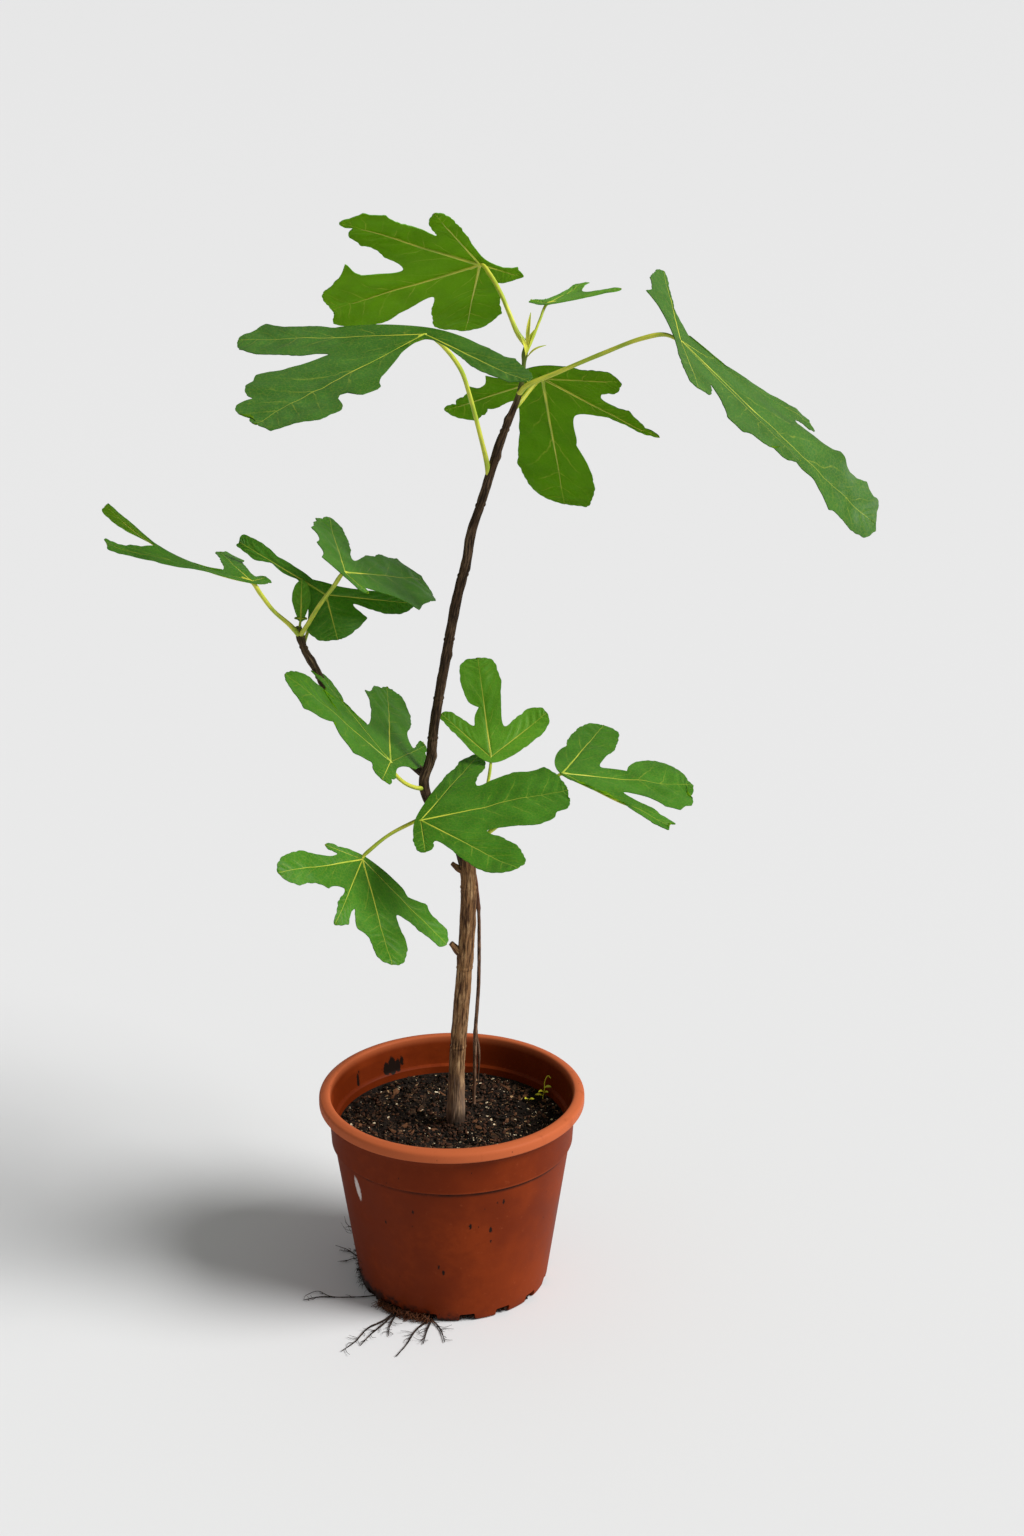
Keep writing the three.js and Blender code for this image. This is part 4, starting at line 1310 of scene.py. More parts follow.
def limbs() -> list[Limb]:
    """Lists the limbs of the tree along the lines that their solids follow.

    Returns:
        The trunk, the leader, the left bough and the dead shoot.
    """
    foot = 153.3
    trunk = (
        ((3, 0, foot), (3.4, 0, 165), (5, 0, 217), (8, 0, 255), (13.5, 0, 323), (16, 0, 367), (16, 0, 403),
         (13, 0, 424)),
        (8.6, 6.9, 6.9, 6.9, 6.9, 6.3),
    )
    stub = (((13, 0, 321), (7, -1, 325.5), (0.5, -1.5, 333)), (3.8, 3.3, 2.4))
    spur = (((15, 0, 401), (8.5, -1, 403.5), (2, -2, 409)), (3.0, 2.6, 1.8))
    leader = (
        ((13, 0, 408), (9, 0, 422), (-4, 0, 445), (-19, 0, 470), (-21.5, 0, 486), (-16, 0, 503),
         (-12, 0, 536), (-1, 0, 599), (9, 0, 651), (16, 0, 678), (20.5, 0, 704), (29, 0, 730), (37, 0, 756),
         (45, 0, 781), (55, 0, 806), (60, 0, 819), (63, 0, 834), (65, 0, 856), (69, 0, 882)),
        (5.2, 4.6, 4.2, 4.2, 4.2, 4.2, 3.7, 3.7, 2.1, 0.5),
    )
    bough = (
        ((-20, 0, 490), (-29, 10, 494), (-53, 18, 512), (-72, 19, 525), (-86, 18, 536), (-96, 16, 547),
         (-106, 14, 564), (-113, 12, 582), (-121, 7, 599), (-124, 4, 610), (-126, 1, 622)),
        (4.1, 3.6, 3.3, 3.3, 3.1),
    )
    shoot = (
        ((19, 35, foot), (20, 32, 186), (21, 28, 231), (24, 24, 276), (25, 21, 316), (24.5, 14, 366),
         (21, 7, 398), (17, 1, 409)),
        (1.6, 1.7, 1.6, 1.4),
    )
    fork = (((23, 40, 176), (24, 35, 200), (23.6, 31, 216), (21.2, 27.8, 232)), (0.5, 1.3, 1.4))
    return [
        Limb("stem_bark", "trunk", "trunk_bark", (trunk, stub, spur), STEM_BARK, sides=96, pitch=0.9,
             fibre=0.55, knots=(Knot((9, -5, 321), 1.3, 6.5), Knot((20, -5, 352), 0.8, 7.0),
                                Knot((1, -6, 246), 0.7, 6.0), Knot((9, -1, 403), 1.0, 6.0)),
             scars=(232.0, 309.0, 386.0)),
        Limb("leader_bark", "leader", "bough_bark", (leader,), SHOOT_BARK, sides=48, pitch=0.9, fibre=0.28,
             fibre_width=1.7, lump=0.25, lump_size=9.0, seed=4.0,
             knots=(Knot((10, -2, 698.7), 2.3, 3.6), Knot((23, -2, 672), 2.2, 3.4),
                    Knot((-2, -2, 640.5), 2.1, 3.4), Knot((5, -2, 597.7), 1.9, 3.4),
                    Knot((-8, -2, 507), 2.3, 3.8), Knot((65, 0, 852), 1.3, 5.0),
                    Knot((44, -3, 768), 1.5, 3.6), Knot((49, 2, 800), 1.5, 3.6)),
             scars=(727.7, 668.0, 612.0, 560.0, 524.0, 790.0)),
        Limb("bough_bark", "left_bough", "bough_bark", (bough,), BOUGH_BARK, sides=40, pitch=0.9, fibre=0.25,
             fibre_width=1.5, lump=0.25, lump_size=8.0, seed=9.0,
             knots=(Knot((-97, 12, 551), 1.2, 4.0), Knot((-116, 8, 590), 1.3, 4.0),
                    Knot((-124, 2, 612), 1.2, 4.5)),
             scars=(556.0, 574.0, 603.0)),
        Limb("dead_shoot_bark", "dead_shoot", "dead_wood", (shoot, fork), DEAD_BARK, sides=20, pitch=1.0,
             fibre=0.30, fibre_width=1.1, lump=0.3, lump_size=7.0, seed=14.0,
             knots=(Knot((24.5, 12, 360), 1.5, 3.2), Knot((21.2, 27.8, 232), 0.7, 3.0))),
    ]


# ---- leaves ----


NIB_SHARPNESS = 1.25
LOBE_SPANS = 6
TIP_SPAN = 2


@dataclass(frozen=True)
class Lobe:
    """One lobe of a leaf laid flat, in degrees and millimetres.

    Rise tilts it up from the blade, curl bends it along its run, belly is how far out it is
    widest, and twist turns its outer end about its own midvein.
    """

    angle: float
    length: float
    left: float
    right: float
    rise: float = 0.0
    curl: float = 0.0
    belly: float = 0.68
    twist: float = 0.0

    def controls(self) -> list[Array]:
        """Control points from the right shoulder over the tip to the left shoulder.

        Returns:
            Five flat points.
        """
        cheek = (1.0 + self.belly) / 2.0 + 0.08
        spots = (
            (self.belly, -self.right),
            (cheek, -0.72 * self.right),
            (1.0, 0.0),
            (cheek, 0.72 * self.left),
            (self.belly, self.left),
        )
        along, across = polar(self.angle, self.length), polar(self.angle + 90.0, 1.0)
        return [out * along + aside * across for out, aside in spots]


@dataclass(frozen=True)
class Leaf:
    """A lobed leaf on its stalk.

    A leaf is laid out flat with its junction at the origin, its midrib along +x and its left
    side along +y. Its place is the junction's, and it is turned by a heading, the pitch of its
    midrib and its roll. The lobes and the notches between them go round anticlockwise. A nib
    draws the margin out, or in, to a corner at an angle and radius, over a spread along it.
    """

    node: str
    at: Point
    turn: Point
    lobes: tuple[Lobe, ...]
    notches: tuple[Flat, ...]
    stalk: tuple[Point, ...]
    age: LeafAge = LeafAge.GROWN
    nibs: tuple[Point, ...] = ()
    margin_steps: int = 26
    edge_steps: int = 92
    spoke_steps: int = 14
    columns: int = 12
    thickness: float = 0.7
    scallop: float = 0.9
    scallop_run: float = 7.5
    ragged: float = 1.8
    ragged_run: float = 12.0
    wave: float = 2.4
    wave_size: float = 34.0
    quilt: float = 0.45
    groove: float = 0.8
    groove_width: float = 1.7
    crowding: float = 1.45
    rib_radii: tuple[float, ...] = (1.45, 1.0, 0.6)
    stalk_radii: tuple[float, ...] = (2.4, 1.9, 1.8, 1.8, 1.9, 1.1)
    full_size: float = 120.0
    least_size: float = 0.6

    @property
    def longest(self) -> float:
        """Length of the longest lobe."""
        return max(lobe.length for lobe in self.lobes)

    @property
    def thickness_share(self) -> float:
        """How thick the ribs and the stalk are, next to a large leaf's."""
        return min(max(self.longest / self.full_size, self.least_size), 1.0)

    def eased(self, degrees: Array, values: Sequence[float]) -> Array:
        """Blends a value of the lobes round the leaf.

        Args:
            degrees: directions from the junction.
            values: the value of each lobe.

        Returns:
            The value in each direction.
        """
        angles = np.array([lobe.angle for lobe in self.lobes] + [self.lobes[0].angle + 360.0])
        known = np.array([*values, values[0]], float)
        turned = (degrees - angles[0]) % 360.0 + angles[0]
        i = np.clip(np.searchsorted(angles, turned, side="right") - 1, 0, len(values) - 1)
        t = smoothstep((turned - angles[i]) / (angles[i + 1] - angles[i]), 0.0, 1.0)
        return known[i] * (1.0 - t) + known[i + 1] * t

    def twist_lift(self, degrees: Array, reach: Array) -> Array:
        """Height added where a lobe's outer end is twisted about its midvein.

        Args:
            degrees: directions from the junction.
            reach: distances from the junction.

        Returns:
            The added heights.
        """
        lift = np.zeros_like(reach)
        count = len(self.lobes)
        for i, lobe in enumerate(self.lobes):
            if lobe.twist == 0.0:
                continue
            off = (degrees - lobe.angle + 180.0) % 360.0 - 180.0
            after = (self.lobes[(i + 1) % count].angle - lobe.angle) % 360.0
            before = (lobe.angle - self.lobes[i - 1].angle) % 360.0
            gap = np.where(off > 0.0, after, before)
            hold = 1.0 - smoothstep(np.abs(off) / gap, 0.3, 0.8)
            slope = math.tan(math.radians(lobe.twist)) * np.sin(np.radians(off))
            lift += slope * reach * (reach / lobe.length) ** 2 * hold
        return lift

    def bent(self, flat: Array) -> Array:
        """Lifts flat points onto the bent blade, where each radius is an arc.

        Args:
            flat: points of the leaf laid flat.

        Returns:
            The same points on the bent blade, in the leaf's own frame.
        """
        reach = np.hypot(flat[:, 0], flat[:, 1])
        angle = np.arctan2(flat[:, 1], flat[:, 0])
        degrees = np.degrees(angle)
        rise = np.radians(self.eased(degrees, [lobe.rise for lobe in self.lobes]))
        curl = np.radians(self.eased(degrees, [lobe.curl for lobe in self.lobes]))
        bend = curl / self.eased(degrees, [lobe.length for lobe in self.lobes])
        bend = np.where(np.abs(bend) < 1e-6, 1e-6, bend)
        along = (np.sin(rise + bend * reach) - np.sin(rise)) / bend
        lift = (np.cos(rise) - np.cos(rise + bend * reach)) / bend + self.twist_lift(degrees, reach)
        return np.stack([along * np.cos(angle), along * np.sin(angle), lift], axis=1)

    def waves(self, flat: Array) -> Array:
        """Height of the slow waves in the blade, which grow from the junction outwards.

        Args:
            flat: points of the leaf laid flat.

        Returns:
            The heights.
        """
        seed = self.at[0] / 10.0
        size = self.wave_size
        slow = [noise.noise(Vector((x / size, y / size, seed))) for x, y in flat]
        quick = [noise.noise(Vector((2.6 * x / size, 2.6 * y / size, seed + 5.0))) for x, y in flat]
        share = smoothstep(np.hypot(flat[:, 0], flat[:, 1]) / self.longest, 0.05, 0.7)
        return self.wave * share * (np.array(slow) + 0.4 * np.array(quick))

    def placed(self, local: Array) -> Array:
        """Takes points from the leaf's own frame to their place on the tree.

        Args:
            local: points in the leaf's own frame.

        Returns:
            The same points on the tree.
        """
        heading, pitch, roll = (math.radians(value) for value in self.turn)
        turned = Matrix.Rotation(heading, 3, "Z") @ Matrix.Rotation(-pitch, 3, "Y")
        return local @ np.array(turned @ Matrix.Rotation(roll, 3, "X")).T + np.array(self.at)

    def margin(self) -> Array:
        """Draws the closed margin with its shallow scallops and any sharp nibs.

        Returns:
            Flat points, a fixed number for each of the six spans of a lobe.
        """
        controls = []
        for lobe, notch in zip(self.lobes, self.notches):
            controls += [*lobe.controls(), polar(*notch)]
        line = smooth_line(controls, True, self.margin_steps)
        after, before = np.roll(line, -1, axis=0), np.roll(line, 1, axis=0)
        along = (after - before) / np.linalg.norm(after - before, axis=1, keepdims=True)
        outward = np.stack([along[:, 1], -along[:, 0]], axis=1)
        run = np.cumsum(np.linalg.norm(line - before, axis=1))
        waves = max(round(run[-1] / self.scallop_run), 6)
        phase = np.pi * waves * run / run[-1]
        uneven = np.array([0.7 + 0.8 * noise.noise(Vector((s / 16.0, self.at[0], 0.0))) for s in run])
        places = (np.arange(len(line)) / self.margin_steps) % LOBE_SPANS
        from_notch = np.minimum(np.abs(places - (LOBE_SPANS - 1)), places + 1.0)
        hold = smoothstep(from_notch, 0.15, 0.9)
        size = self.scallop * min(self.longest / 110.0, 1.0)
        ragged = np.array([noise.noise(Vector((s / self.ragged_run, self.at[1], 4.0))) for s in run])
        swing = uneven * (np.abs(np.sin(phase)) - 0.55) + self.ragged * ragged
        line = line + outward * (size * hold * swing)[:, None]
        for degrees, radius, spread in self.nibs:
            corner = polar(degrees, radius)
            nearest = int(np.argmin(np.linalg.norm(line - corner, axis=1)))
            away = np.abs(run - run[nearest])
            away = np.minimum(away, run[-1] - away)
            pull = np.exp(-((away / spread) ** NIB_SHARPNESS))
            line = line + (corner - line[nearest]) * pull[:, None]
        return line

    def nearest_notch(self, margin: Array, i: int) -> int:
        """Finds where the margin comes nearest to the junction between two lobes' tips.

        Args:
            margin: the leaf's margin.
            i: the number of the first of the two lobes.

        Returns:
            How many samples of the margin lie between the first tip and that place.
        """
        tip = (LOBE_SPANS * i + TIP_SPAN) * self.margin_steps
        picks = (tip + np.arange(LOBE_SPANS * self.margin_steps)) % len(margin)
        return int(np.argmin(np.hypot(margin[picks, 0], margin[picks, 1])))

    def half_lobe(self, margin: Array, i: int, side: int) -> tuple[Array, Array, Array]:
        """Lays out the points of one side of a lobe in rows from midvein to margin.

        Args:
            margin: the leaf's margin.
            i: the lobe's number.
            side: 1 for its left side, -1 for its right side.

        Returns:
            The flat points, by row and column, and the metric and shared coordinates of each.
        """
        lobe, count = self.lobes[i], len(margin)
        tip = (LOBE_SPANS * i + TIP_SPAN) * self.margin_steps

        def edge(start: int) -> Array:
            """Runs out along the spoke to a notch and on along the margin to the tip.

            Args:
                start: the margin's sample at the notch.

            Returns:
                The flat points.
            """
            picks = np.linspace(start, tip, self.edge_steps + 1)
            low = np.floor(picks).astype(int)
            share = (picks - low)[:, None]
            run = margin[low % count] * (1.0 - share) + margin[(low + 1) % count] * share
            spoke = np.linspace(0.0, 1.0, self.spoke_steps, endpoint=False)[:, None] * run[0]
            return np.vstack([spoke, run])

        before = (i - 1) % len(self.lobes)
        left = edge(tip + self.nearest_notch(margin, i))
        right = edge(tip - LOBE_SPANS * self.margin_steps + self.nearest_notch(margin, before))
        axis = polar(lobe.angle, 1.0)
        mean = (left + right) @ axis / 2.0
        rows = len(left) - 1
        least = 0.15 * lobe.length / rows
        reach = [0.0]
        for k in range(1, rows):
            reach.append(max(reach[-1] + least, min(mean[k], lobe.length - least * (rows - k))))
        middle = np.vstack([np.outer(reach, axis), margin[tip % len(margin)]])
        edge_points = left if side > 0 else right
        t = (np.arange(self.columns + 1) / self.columns) ** self.crowding
        points = middle[:, None] + (edge_points - middle)[:, None] * t[None, :, None]
        width = np.linalg.norm(edge_points - middle, axis=1)
        out = np.hypot(middle[:, 0], middle[:, 1]) / lobe.length
        from_vein = side * MM * width[:, None] * t[None]
        metric = np.stack([from_vein, np.repeat(out[:, None], len(t), axis=1)], axis=-1)
        share = np.stack(np.broadcast_arrays(np.linspace(0.0, 1.0, rows + 1)[:, None], t[None]), axis=-1)
        return points, metric, share

    def pressed(self, metric: Array, share: Array) -> Array:
        """Height of the blade between its veins, which lie sunk in it.

        Args:
            metric: signed distance from the midvein in metres and share of the lobe's length.
            share: share of the run from junction to tip and share of the half-width.

        Returns:
            The heights.
        """
        away, out = metric[..., 0] / MM, metric[..., 1]
        fade = 1.0 - share[..., 1]
        sunk = -self.groove * np.exp(-((away / self.groove_width) ** 2)) * np.clip(1.0 - out, 0.0, 1.0)
        phase = SIDE_VEINS * (share[..., 0] - VEIN_SWEEP * share[..., 1])
        between = np.sin(np.pi * np.clip(share[..., 1], 0.0, 1.0)) ** 0.7
        puffed = self.quilt * np.cos(2.0 * np.pi * phase) * between
        return fade * sunk + fade * puffed * smoothstep(share[..., 0], 0.1, 0.3)

    def blade(self) -> Piece:
        """Models the blade as a thin closed sheet.

        Returns:
            The blade, its upper face in the first slot and its underside in the second.
        """
        margin = self.margin()
        flats, heights, metrics, shares, faces, start = [], [], [], [], [], 0
        for i in range(len(self.lobes)):
            for side in (1, -1):
                points, metric, share = self.half_lobe(margin, i, side)
                rows, columns = points.shape[:2]
                flats.append(points.reshape(-1, 2))
                heights.append(self.pressed(metric, share).ravel())
                metrics.append(metric.reshape(-1, 2))
                shares.append(share.reshape(-1, 2))
                faces += net_faces(rows, columns, start)[:, ::side].tolist()
                start += rows * columns
        flat = np.vstack(flats)
        local = self.bent(flat)
        local[:, 2] += np.concatenate(heights) + self.waves(flat)
        blade = from_arrays(f"{self.node}_blade", self.placed(local), faces)
        corners = np.array([corner for face in faces for corner in face])
        for name, values in (("run", np.vstack(metrics)), ("share", np.vstack(shares))):
            layer = blade.data.uv_layers.new(name=name)
            layer.data.foreach_set("uv", values[corners].ravel())
        with editing(blade):
            bpy.ops.mesh.remove_doubles(threshold=0.03 * MM)
            bpy.ops.mesh.dissolve_degenerate(threshold=0.01 * MM)
        for _ in range(3):
            blade.data.materials.append(None)
        modify(blade, "SOLIDIFY", thickness=self.thickness * MM, offset=-1.0, material_offset=1)
        return blade

    def under(self, flat: Array, depth: float) -> Array:
        """Places points just under the blade.

        Args:
            flat: points of the leaf laid flat.
            depth: how far below the blade's upper face.

        Returns:
            Their places on the tree.
        """
        local = self.bent(flat)
        local[:, 2] += self.waves(flat) - depth
        return self.placed(local)

    def ribs(self) -> list[Piece]:
        """Models the raised midveins on the underside.

        Returns:
            One tapering rib for each lobe.
        """
        ribs = []
        size = self.thickness_share
        foot, middle, end = self.rib_radii
        for number, lobe in enumerate(self.lobes):
            share = lobe.length / self.longest
            flat = np.outer(np.linspace(0.0, 0.86 * lobe.length, 9), polar(lobe.angle, 1.0))
            path = self.under(flat, self.thickness + self.groove * 0.7)
            radii = (foot * size * max(share, 0.5), middle * size * share, end * size * share, 0.25)
            ribs.append(Sweep(path, radii, 8, 2.5).build(f"rib_{number}"))
        return ribs

    def stem(self) -> Piece:
        """Models the stalk from the wood to the junction and a little way under the midrib.

        Returns:
            The stalk.
        """
        size = self.thickness_share
        reach = min(9.0, 0.15 * self.longest)
        ends = np.array([[-1.0, 0.0, -1.5 * size], [reach, 0.0, -1.3]])
        path = [*self.stalk, *self.placed(ends)]
        radii = [size * radius for radius in self.stalk_radii]

        def grooved(base: Array, unbent: Array, radius: Array) -> Array:
            """Height of the skin, which has a shallow groove and is faintly uneven.

            Args:
                base: each point on the smooth stalk.
                unbent: its place on the stalk as if straight.
                radius: the stalk's radius there.

            Returns:
                The height at each point.
            """
            turn = np.arctan2(unbent[..., 1], unbent[..., 0])
            uneven = 0.08 * np.sin(unbent[..., 2] / 7.0) * np.sin(2.0 * turn)
            return uneven - 0.22 * radius * np.exp(-(((turn - 1.6) / 0.35) ** 2))

        return Sweep(path, radii, 18, 1.6).build(f"{self.node}_stem", grooved)

    def build(self, skins: dict[LeafAge, list[Material]]) -> None:
        """Models and dresses the leaf.

        Args:
            skins: the upper, under and stalk materials for each age.
        """
        blade = self.blade()
        for k, skin in enumerate(skins[self.age]):
            blade.data.materials[k] = skin
        bars = join([self.stem(), *self.ribs()], f"{self.node}_bars")
        bars.data.materials.append(skins[self.age][2])
        leaf = join([blade, bars], self.node.replace("leaf_", "fig_leaf_"))
        finish(leaf, (), "leaf", self.node, crease=50.0)


LEAVES = (
    Leaf(
        "leaf_top_back", (28, 38, 920), (165, -22, 32),
        (Lobe(-114, 45, 19, 3), Lobe(-58, 110, 33, 25), Lobe(8, 130, 42, 46, belly=0.8),
         Lobe(66, 144, 20, 18), Lobe(93, 93, 9, 12)),
        ((-84, 49), (-21, 58), (31, 64), (80, 80), (160, 7)),
        ((65, 0, 861), (59, 1, 869), (52, 4, 885), (45, 13, 900), (36, 28, 913)),
        age=LeafAge.YOUNG,
        nibs=((66, 146, 7), (73, 137, 6), (65, 130, 6), (55, 109, 8), (48, 84, 7), (41, 113, 5), (30, 97, 8),
              (25, 123, 6), (-1, 139, 8), (-77, 88, 7), (-58, 110, 7), (-42, 101, 6), (-113, 49, 5),
              (-130, 35, 6), (78, 122, 9)),
    ),
    Leaf(
        "leaf_top_left", (-14, -45, 876), (-143, -10, -10),
        (Lobe(-38, 148, 34, 22), Lobe(14, 197, 40, 50), Lobe(91, 127, 17, 12)),
        ((-13, 82), (52, 10), (-150, 12)),
        ((35, 0, 751), (34, -3, 762), (29, -11, 786), (21, -22, 820), (13, -31, 846), (-3, -40, 868)),
        age=LeafAge.OLD,
        nibs=((-31, 147, 8), (-51, 132, 8), (-52, 76, 9), (-18, 104, 8), (-9, 146, 9), (4, 169, 7),
              (10, 187, 6), (19, 199, 7), (27, 170, 8), (24, 133, 7), (24, 122, 5), (35, 103, 6),
              (25, 38, 10), (104, 90, 7)),
    ),
    Leaf(
        "leaf_top_young", (84, 20, 891), (10, 10, 0),
        (Lobe(-8, 60, 11, 6), Lobe(54, 75, 6, 8), Lobe(112, 26, 5, 5)),
        ((28, 38), (84, 18), (-120, 6)),
        ((66, 0, 854), (71, 5, 864), (77, 12, 878)),
        age=LeafAge.YOUNG,
        nibs=((60, 70, 4), (-15, 54, 5)),
    ),
    Leaf(
        "leaf_top_right", (189, -35, 869), (25, -40, 30),
        (Lobe(-94, 84, 20, 14, rise=6), Lobe(-40, 136, 24, 46, rise=8, belly=0.6),
         Lobe(-5, 238, 24, 20, belly=0.84, twist=32), Lobe(21, 196, 8, 10, belly=0.86),
         Lobe(91, 106, 24, 4, belly=0.4)),
        ((-72, 56), (-10, 162), (15.5, 160), (42, 36), (-170, 12)),
        ((60, 0, 820), (66, -3, 827), (91, -9, 839), (125, -18, 855), (157, -27, 869), (176, -31, 873)),
        age=LeafAge.OLD,
        nibs=((90, 107, 5), (111, 72, 8), (138, 50, 7), (88, 93, 6), (89, 58, 10), (60, 26, 8), (-100, 86, 6),
              (-90, 82, 6), (-76, 97, 8), (-71, 113, 8), (-52, 119, 7), (-14, 190, 9), (2, 223, 8),
              (9, 200, 8), (-6, 247, 8)),
    ),
    Leaf(
        "leaf_upper_back", (80, 30, 828), (72, -52, 10),
        (Lobe(-101, 72, 17, 12), Lobe(-64, 108, 5, 10), Lobe(4, 166, 38, 32, belly=0.76),
         Lobe(57, 129, 8, 17)),
        ((-77, 53), (-29, 46), (41, 50), (176, 14)),
        ((56, 0, 808), (62, 7, 813), (71, 19, 822)),
        nibs=((57, 130, 6), (58, 112, 5), (62, 94, 6), (69, 83, 5), (78, 57, 7), (46, 108, 7), (49, 84, 7),
              (22, 132, 8), (7, 167, 8), (-10, 136, 8), (-11, 82, 8), (-99, 74, 6), (-75, 77, 5),
              (-66, 94, 6), (-116, 44, 6)),
    ),
    Leaf(
        "leaf_bough_left", (-160, -30, 671), (165, 20, 10),
        (Lobe(-92, 33, 5, 8), Lobe(-48, 72, 10, 14),
         Lobe(27, 137, 12, 15, rise=-9, curl=36, belly=0.82, twist=36),
         Lobe(46, 136, 7, 6, belly=0.86, twist=-22)),
        ((-72, 26), (8, 28), (37, 90), (120, 8)),
        ((-126, 1, 616), (-132, -4, 625), (-145, -14, 641), (-154, -24, 658)),
        nibs=((-66, 68, 5), (-55, 84, 5), (-90, 38, 4), (52, 45, 20), (20, 55, 18)),
    ),
    Leaf(
        "leaf_bough_low", (-103, 14, 647), (-88, -74, 0),
        (Lobe(-122, 85, 5, 9, belly=0.86), Lobe(14, 39, 25, 21), Lobe(84, 82, 8, 12, rise=-25)),
        ((-92, 18), (70, 26), (180, 11)),
        ((-123, 7, 604), (-117, 12, 620), (-108, 14, 638)),
        nibs=((-129, 75, 5), (-129, 52, 9), (-133, 35, 9), (-140, 17, 7), (-116, 67, 6), (-121, 53, 8),
              (-119, 27, 9), (60, 42, 5), (-29, 34, 5), (38, 39, 5)),
    ),
    Leaf(
        "leaf_bough_right", (-83, -28, 678), (58, -20, 30),
        (Lobe(-84, 28, 6, 9), Lobe(8, 143, 32, 36, belly=0.7), Lobe(50, 124, 20, 15, belly=0.66)),
        ((-60, 22), (32, 46), (150, 8)),
        ((-125, 3, 614), (-119, -6, 624), (-106, -15, 646), (-94, -22, 663)),
        nibs=((71, 72, 7), (54, 112, 9), (59, 98, 5), (44, 116, 6), (39, 84, 7), (84, 42, 9), (131, 23, 12),
              (24, 99, 9), (20, 146, 7), (10, 152, 7), (-2, 131, 12), (-12, 104, 10), (-28, 80, 12)),
    ),
    Leaf(
        "leaf_bough_bud", (-124, 4, 629), (80, 76, 0),
        (Lobe(-90, 5, 1, 1), Lobe(0, 33, 8, 8, belly=0.5), Lobe(90, 5, 1, 1)),
        ((-45, 7), (45, 7), (180, 3)),
        ((-125, 2, 619), (-124.5, 3, 625)),
        age=LeafAge.YOUNG,
    ),
    Leaf(
        "leaf_mid_left", (-48, -30, 513), (145, 40, 18),
        (Lobe(-83, 84, 3, 11, belly=0.74), Lobe(-53, 131, 18, 27, belly=0.72),
         Lobe(0, 98, 8, 10, belly=0.86), Lobe(28, 117, 26, 26), Lobe(112, 43, 12, 14)),
        ((-70, 74), (-14, 43), (12, 84), (80, 38), (-170, 8)),
        ((-21, 0, 479), (-26, -5, 480), (-37, -15, 488), (-47, -26, 503)),
        nibs=((6, 104, 8), (47, 97, 6), (42, 64, 6), (74, 52, 6), (-37, 98, 8), (-44, 112, 6), (-50, 122, 8),
              (-60, 131, 7), (-67, 114, 7), (-79, 85, 10), (-87, 75, 7), (-104, 50, 9), (-111, 34, 11),
              (0, 66, 5), (118, 41, 6), (127, 28, 7)),
    ),
    Leaf(
        "leaf_mid_upright", (36, 33, 495), (95, 50, 0),
        (Lobe(-52, 65, 14, 12), Lobe(4, 95, 18, 17, belly=0.8), Lobe(45, 59, 5, 10)),
        ((-25, 32), (24, 33), (180, 5)),
        ((15, 1, 404), (21, 12, 424), (30, 22, 458), (35, 30, 483)),
        age=LeafAge.YOUNG,
        nibs=((10, 48, 5), (15, 90, 6), (1, 95, 7), (-9, 77, 6), (-47, 66, 6), (-38, 57, 5), (49, 57, 4)),
    ),
    Leaf(
        "leaf_mid_front", (-23, -48, 467), (12, 8, 10),
        (Lobe(-97, 51, 9, 8), Lobe(-60, 120, 24, 19), Lobe(0, 129, 44, 42, belly=0.72),
         Lobe(51, 112, 11, 16)),
        ((-78, 40), (-37, 62), (32, 68), (140, 5)),
        ((-14, 0, 462), (-17, -16, 462), (-21, -38, 464)),
        nibs=((20, 127, 8), (11, 130, 7), (-5, 127, 8), (-15, 116, 7), (-26, 104, 9), (-46, 98, 6),
              (-66, 115, 6), (46, 105, 5), (61, 68, 6)),
    ),
    Leaf(
        "leaf_mid_right", (98, 12, 488), (17, -10, 10),
        (Lobe(-49, 111, 13, 8, belly=0.88), Lobe(-3, 119, 40, 34, belly=0.8),
         Lobe(55, 122, 17, 22, belly=0.74)),
        ((-31, 56), (23, 45), (120, 6)),
        ((13, -1, 419), (34, 2, 436), (68, 8, 462), (90, 12, 481)),
        nibs=((69, 55, 8), (68, 81, 8), (65, 100, 6), (45, 110, 7), (39, 86, 6), (10, 65, 9), (21, 108, 8),
              (-3, 122, 8), (-12, 113, 5), (-21, 115, 7), (-28, 108, 8), (-31, 94, 8), (-43, 95, 8),
              (-46, 108, 6), (-53, 110, 6), (-51, 65, 12), (-44, 45, 12), (-46, 23, 8)),
    ),
    Leaf(
        "leaf_mid_low", (-73, -42, 429), (-78, -32, -30),
        (Lobe(-96, 38, 4, 4), Lobe(-66, 99, 14, 16), Lobe(-27, 87, 10, 5), Lobe(6, 107, 22, 17, belly=0.74),
         Lobe(47, 102, 13, 12, belly=0.76)),
        ((-80, 32), (-33, 46), (-13, 78), (27, 58), (130, 5)),
        ((-11, 0, 457), (-29, -17, 454), (-50, -30, 447), (-64, -37, 438)),
        nibs=((-81, 64, 6), (-56, 83, 6), (-44, 59, 5), (-29, 80, 5), (-19, 79, 5), (-4, 84, 5), (16, 99, 6),
              (22, 82, 5), (56, 94, 5), (64, 69, 5), (56, 50, 5)),
    ),
)


